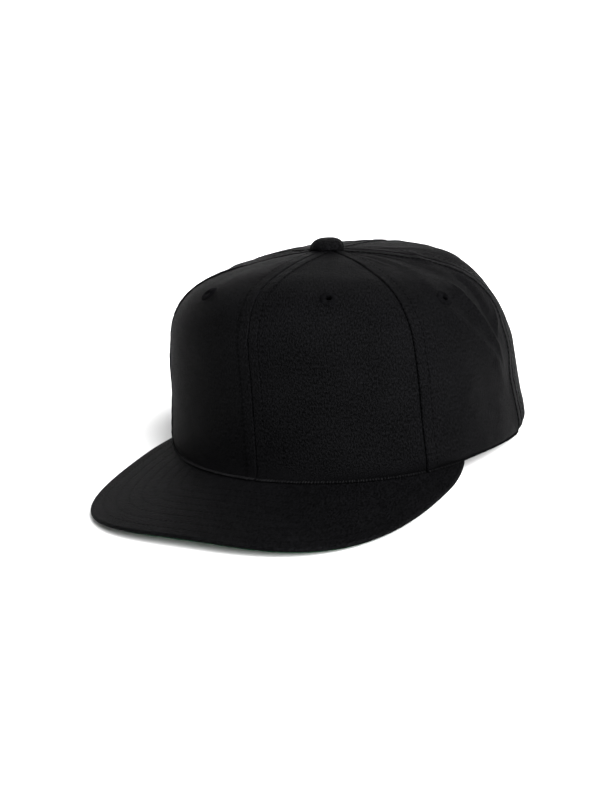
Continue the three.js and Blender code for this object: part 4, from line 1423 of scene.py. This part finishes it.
def tongue(start, end, outer, inner, steps=140):
    """A tongue of the strap: a strip with rounded ends, rounded edges and a raised rim."""
    along = np.linspace(start, end, steps)
    to_end = np.minimum(along - start, end - along)
    rounding = np.clip(1 - to_end / STRAP_CORNER, 0, 1)
    trim = STRAP_CORNER * (1 - np.sqrt(1 - 0.98 * rounding ** 2))
    low, high = STRAP_FLOOR_GAP + trim, STRAP_FLOOR_GAP + STRAP_WIDTH - trim
    bevel = STRAP_BEVEL
    section = [
        (0.0, bevel, inner), (0.5, 0.0, inner), (1.0, bevel, inner), (1.0, 0.0, inner - bevel),
        (1.0, 0.0, outer + bevel), (1.0, bevel, outer), (1.0, STRAP_RIM_FOOT, outer),
        (1.0, STRAP_RIM_TOP, outer + STRAP_RIM), (0.0, STRAP_RIM_TOP, outer + STRAP_RIM),
        (0.0, STRAP_RIM_FOOT, outer), (0.0, bevel, outer), (0.0, 0.0, outer + bevel),
        (0.0, 0.0, inner - bevel),
    ]
    loops = []
    for share, inset, depth in section:
        height = lerp(low, high, share) + inset * (1 - 2 * share)
        loops.append(strap_place(along, np.full(along.shape, depth), height))
    grid = np.stack(loops, 1)
    return slab_mesh(grid[:, ::-1])


STUD_SIDES = 28

# Section of a stud: share of its radius, and drop in millimetres
STUD_SECTION = [
    (1.0, 0.4), (1.0, -0.2), (0.9, -0.9), (1.06, -1.5), (1.14, -1.8), (1.1, -2.1), (0.9, -2.35),
    (0.55, -2.4), (0.42, -2.15), (0.05, -2.1),
]


def strap_axes(along, depth, height):
    """Centre, sideways and outward directions of a place on the strap."""
    centre = strap_place(np.array(along), depth, height)
    surface = strap_place(np.array(along), 0.0, height)
    outward = unit(strap_place(np.array(along), -MM, height) - surface)
    return centre, unit(np.cross(outward, np.array([0, 0, 1.0]))), outward


def stud(along, depth, height):
    """A moulded stud with a neck, a rounded head and a dimple."""
    centre, side, outward = strap_axes(along, depth, height)
    upward = np.cross(side, outward)
    turn = 2 * math.pi * np.arange(STUD_SIDES) / STUD_SIDES
    rings = []
    for share, drop in STUD_SECTION:
        ring = SNAP_RADIUS * share * (np.cos(turn)[:, None] * side + np.sin(turn)[:, None] * upward)
        rings.append(centre + ring - outward * drop * MM)
    return np.concatenate(rings), tube_faces(len(STUD_SECTION), STUD_SIDES)


def build_strap(cloth):
    reach = (math.pi - band_reach()) * HEM_BACK + STRAP_TUCK
    overlap = TONGUE_OVERLAP / 2
    plastic = material("strap plastic", strap_plastic, cloth.black)
    middle = STRAP_FLOOR_GAP + STRAP_WIDTH / 2
    places = [(k - (SNAP_COUNT - 1) / 2) * SNAP_SPACING for k in range(SNAP_COUNT)]
    inner = tongue(-reach, overlap, 0.05 * MM, STRAP_THICKNESS)
    studs = [stud(along, 0.2 * MM, middle) for along in places if along < overlap - SNAP_HOLE_RADIUS]
    vertices, faces = join_parts([inner, *studs])
    add_mesh("strap_studs", vertices, faces, plastic, ["snap_strap"])
    vertices, faces = tongue(-overlap, reach, -STRAP_THICKNESS, -0.02 * MM)
    piece = add_mesh("strap_holes", vertices, faces, plastic, ["snap_strap"])
    cutters = []
    for along in places:
        if along > -overlap + SNAP_HOLE_RADIUS:
            centre, side, outward = strap_axes(along, 0.0, middle)
            upward = np.cross(outward, side)
            cutters.append(round_cutter(centre, side, upward, outward, SNAP_HOLE_RADIUS, 4 * MM))
    cut(piece, cutters)


# Stage

CAMERA_PLACE = np.array([334.59, -607.51, 231.37]) * MM
CAMERA_BACK = Vector((0.47045, -0.84340, 0.25950))
CAMERA_UP = Vector((-0.05801, 0.26388, 0.96281))
IMAGE_WIDTH, IMAGE_HEIGHT = 600, 800
PRINCIPAL_X, PRINCIPAL_Y = 331.36, 364.84

# Each light's heading and height above the floor
KEY_PLACE = (math.radians(70), math.radians(38))
KEY_SPREAD = math.radians(51)
RIM_PLACE = (math.radians(214), math.radians(34))
RIM_SPREAD = math.radians(85)
FILL_PLACE = (math.radians(35), math.radians(9))
FILL_SPREAD = math.radians(50)

# Upward share of the view where the room starts and ends its change of brightness
ROOM_FADE = (0.04, 0.2)
FLOOR_SIDES = 96
FLOOR_RADII = (0.02, 0.5, 2, 8, 40)
SENSOR_WIDTH = 36


def aim(light, place, target):
    light.location = place
    light.rotation_euler = (Vector(target) - Vector(place)).to_track_quat("-Z", "Y").to_euler()
    bpy.context.scene.collection.objects.link(light)


def add_broad_light(name, heading, height, strength, spread):
    """Broad distant light, the same over the whole floor; the heading turns from -Y towards +X."""
    data = bpy.data.lights.new(name, "SUN")
    data.energy = strength
    data.angle = spread
    level = math.cos(height)
    aim(bpy.data.objects.new(name, data),
        (level * math.sin(heading), -level * math.cos(heading), math.sin(height)), (0, 0, 0))


def pale_room(studio):
    """Room that is white round the floor and dims towards the ceiling."""
    world = bpy.data.worlds.new("pale room")
    world.use_nodes = True
    nodes, links = world.node_tree.nodes, world.node_tree.links
    direction = nodes.new("ShaderNodeTexCoord")
    height = nodes.new("ShaderNodeSeparateXYZ")
    fade = nodes.new("ShaderNodeMapRange")
    fade.interpolation_type = "SMOOTHSTEP"
    start, end = ROOM_FADE
    values = {"From Min": start, "From Max": end, "To Min": studio.surround, "To Max": studio.ceiling}
    for name, value in values.items():
        fade.inputs[name].default_value = value
    links.new(direction.outputs["Generated"], height.inputs["Vector"])
    links.new(height.outputs["Z"], fade.inputs["Value"])
    links.new(fade.outputs["Result"], nodes["Background"].inputs["Strength"])
    nodes["Background"].inputs["Color"].default_value = (1, 1, 1, 1)
    bpy.context.scene.world = world


def build_floor(studio):
    turn = 2 * math.pi * np.arange(FLOOR_SIDES) / FLOOR_SIDES
    ring = np.stack([np.cos(turn), np.sin(turn), np.zeros(FLOOR_SIDES)], -1)
    vertices = np.concatenate([ring * radius for radius in FLOOR_RADII])
    index = np.arange(len(vertices)).reshape(-1, FLOOR_SIDES)
    ahead = np.roll(index, -1, axis=1)
    faces = np.stack([index[:-1], index[1:], ahead[1:], ahead[:-1]], -1).reshape(-1, 4).tolist()
    faces.append(index[0].tolist())
    mesh = bpy.data.meshes.new("studio_floor")
    mesh.from_pydata(vertices.tolist(), [], faces)
    mesh.materials.append(material("studio floor", floor_paint, studio.floor))
    floor = bpy.data.objects.new("studio_floor", mesh)
    bpy.context.scene.collection.objects.link(floor)


def build_camera(studio):
    data = bpy.data.cameras.new("camera")
    data.lens = studio.lens
    data.sensor_width = SENSOR_WIDTH
    data.shift_x = (IMAGE_WIDTH / 2 - PRINCIPAL_X) / IMAGE_HEIGHT
    data.shift_y = (PRINCIPAL_Y - IMAGE_HEIGHT / 2) / IMAGE_HEIGHT
    camera = bpy.data.objects.new("camera", data)
    back = CAMERA_BACK.normalized()
    right = CAMERA_UP.cross(back).normalized()
    turned = Matrix((right, back.cross(right), back)).transposed()
    camera.matrix_world = Matrix.Translation(Vector(CAMERA_PLACE + AXIS)) @ turned.to_4x4()
    bpy.context.scene.collection.objects.link(camera)
    bpy.context.scene.camera = camera


def build_stage(studio):
    build_floor(studio)
    add_broad_light("key_light", *KEY_PLACE, studio.key, KEY_SPREAD)
    add_broad_light("rim_light", *RIM_PLACE, studio.rim, RIM_SPREAD)
    add_broad_light("fill_light", *FILL_PLACE, studio.fill, FILL_SPREAD)
    pale_room(studio)
    bpy.context.scene.view_settings.view_transform = "Standard"
    build_camera(studio)


# Operators and panel

class CAP_OT_panels(bpy.types.Operator):
    """Build the six cloth panels of the crown"""
    bl_idname = "cap.panels"
    bl_label = "Crown panels"

    def execute(self, context):
        build_panels(context.scene.cap_cloth, context.scene.cap_thread)
        return {"FINISHED"}


class CAP_OT_crown_stitches(bpy.types.Operator):
    """Sew the rows beside the seams and along the hem"""
    bl_idname = "cap.crown_stitches"
    bl_label = "Crown stitches"

    def execute(self, context):
        build_seam_stitches(context.scene.cap_cloth, context.scene.cap_thread)
        build_hem_stitches(context.scene.cap_cloth, context.scene.cap_thread)
        return {"FINISHED"}


class CAP_OT_eyelets(bpy.types.Operator):
    """Embroider the six eyelets"""
    bl_idname = "cap.eyelets"
    bl_label = "Eyelets"

    def execute(self, context):
        build_eyelets(context.scene.cap_cloth, context.scene.cap_thread)
        return {"FINISHED"}


class CAP_OT_button(bpy.types.Operator):
    """Cover the button on top of the crown"""
    bl_idname = "cap.button"
    bl_label = "Button"

    def execute(self, context):
        build_button(context.scene.cap_cloth)
        return {"FINISHED"}


class CAP_OT_bill(bpy.types.Operator):
    """Build the bill's two faces and its rows of stitches"""
    bl_idname = "cap.bill"
    bl_label = "Bill"

    def execute(self, context):
        build_bill(context.scene.cap_cloth, context.scene.cap_thread)
        build_bill_stitches(context.scene.cap_thread)
        return {"FINISHED"}


class CAP_OT_arch_binding(bpy.types.Operator):
    """Bind the edge of the arch over the strap"""
    bl_idname = "cap.arch_binding"
    bl_label = "Arch binding"

    def execute(self, context):
        build_arch_binding(context.scene.cap_cloth)
        build_arch_stitches(context.scene.cap_thread)
        return {"FINISHED"}


class CAP_OT_sweatband(bpy.types.Operator):
    """Build the sweatband and its stitches"""
    bl_idname = "cap.sweatband"
    bl_label = "Sweatband"

    def execute(self, context):
        build_sweatband(context.scene.cap_cloth)
        build_band_stitches(context.scene.cap_thread)
        return {"FINISHED"}


class CAP_OT_strap(bpy.types.Operator):
    """Build the two tongues of the snap strap"""
    bl_idname = "cap.strap"
    bl_label = "Snap strap"

    def execute(self, context):
        build_strap(context.scene.cap_cloth)
        return {"FINISHED"}


class CAP_OT_stage(bpy.types.Operator):
    """Set up the floor, the lights and the camera"""
    bl_idname = "cap.stage"
    bl_label = "Stage"

    def execute(self, context):
        build_stage(context.scene.cap_studio)
        return {"FINISHED"}


OPERATORS = (
    CAP_OT_panels, CAP_OT_crown_stitches, CAP_OT_eyelets, CAP_OT_button, CAP_OT_bill,
    CAP_OT_arch_binding, CAP_OT_sweatband, CAP_OT_strap, CAP_OT_stage,
)


class CAP_PT_sidebar(bpy.types.Panel):
    """Sizes, colours and building steps of the cap"""
    bl_label = "Snapback Cap"
    bl_idname = "CAP_PT_sidebar"
    bl_space_type = "VIEW_3D"
    bl_region_type = "UI"
    bl_category = "Cap"

    def draw(self, context):
        scene = context.scene
        for group in (scene.cap_cloth, scene.cap_thread, scene.cap_studio):
            box = self.layout.box()
            for name in group.__annotations__:
                box.prop(group, name)
        column = self.layout.column(align=True)
        for operator in OPERATORS:
            column.operator(operator.bl_idname)


CLASSES = (CapCloth, CapThread, CapStudio, *OPERATORS, CAP_PT_sidebar)


def register():
    for cls in CLASSES:
        bpy.utils.register_class(cls)
    bpy.types.Scene.cap_cloth = bpy.props.PointerProperty(type=CapCloth)
    bpy.types.Scene.cap_thread = bpy.props.PointerProperty(type=CapThread)
    bpy.types.Scene.cap_studio = bpy.props.PointerProperty(type=CapStudio)


def unregister():
    del bpy.types.Scene.cap_studio
    del bpy.types.Scene.cap_thread
    del bpy.types.Scene.cap_cloth
    for cls in reversed(CLASSES):
        bpy.utils.unregister_class(cls)


def main():
    register()
    bpy.ops.cap.panels()
    bpy.ops.cap.crown_stitches()
    bpy.ops.cap.eyelets()
    bpy.ops.cap.button()
    bpy.ops.cap.bill()
    bpy.ops.cap.arch_binding()
    bpy.ops.cap.sweatband()
    bpy.ops.cap.strap()
    bpy.ops.cap.stage()


if __name__ == "__main__":
    main()
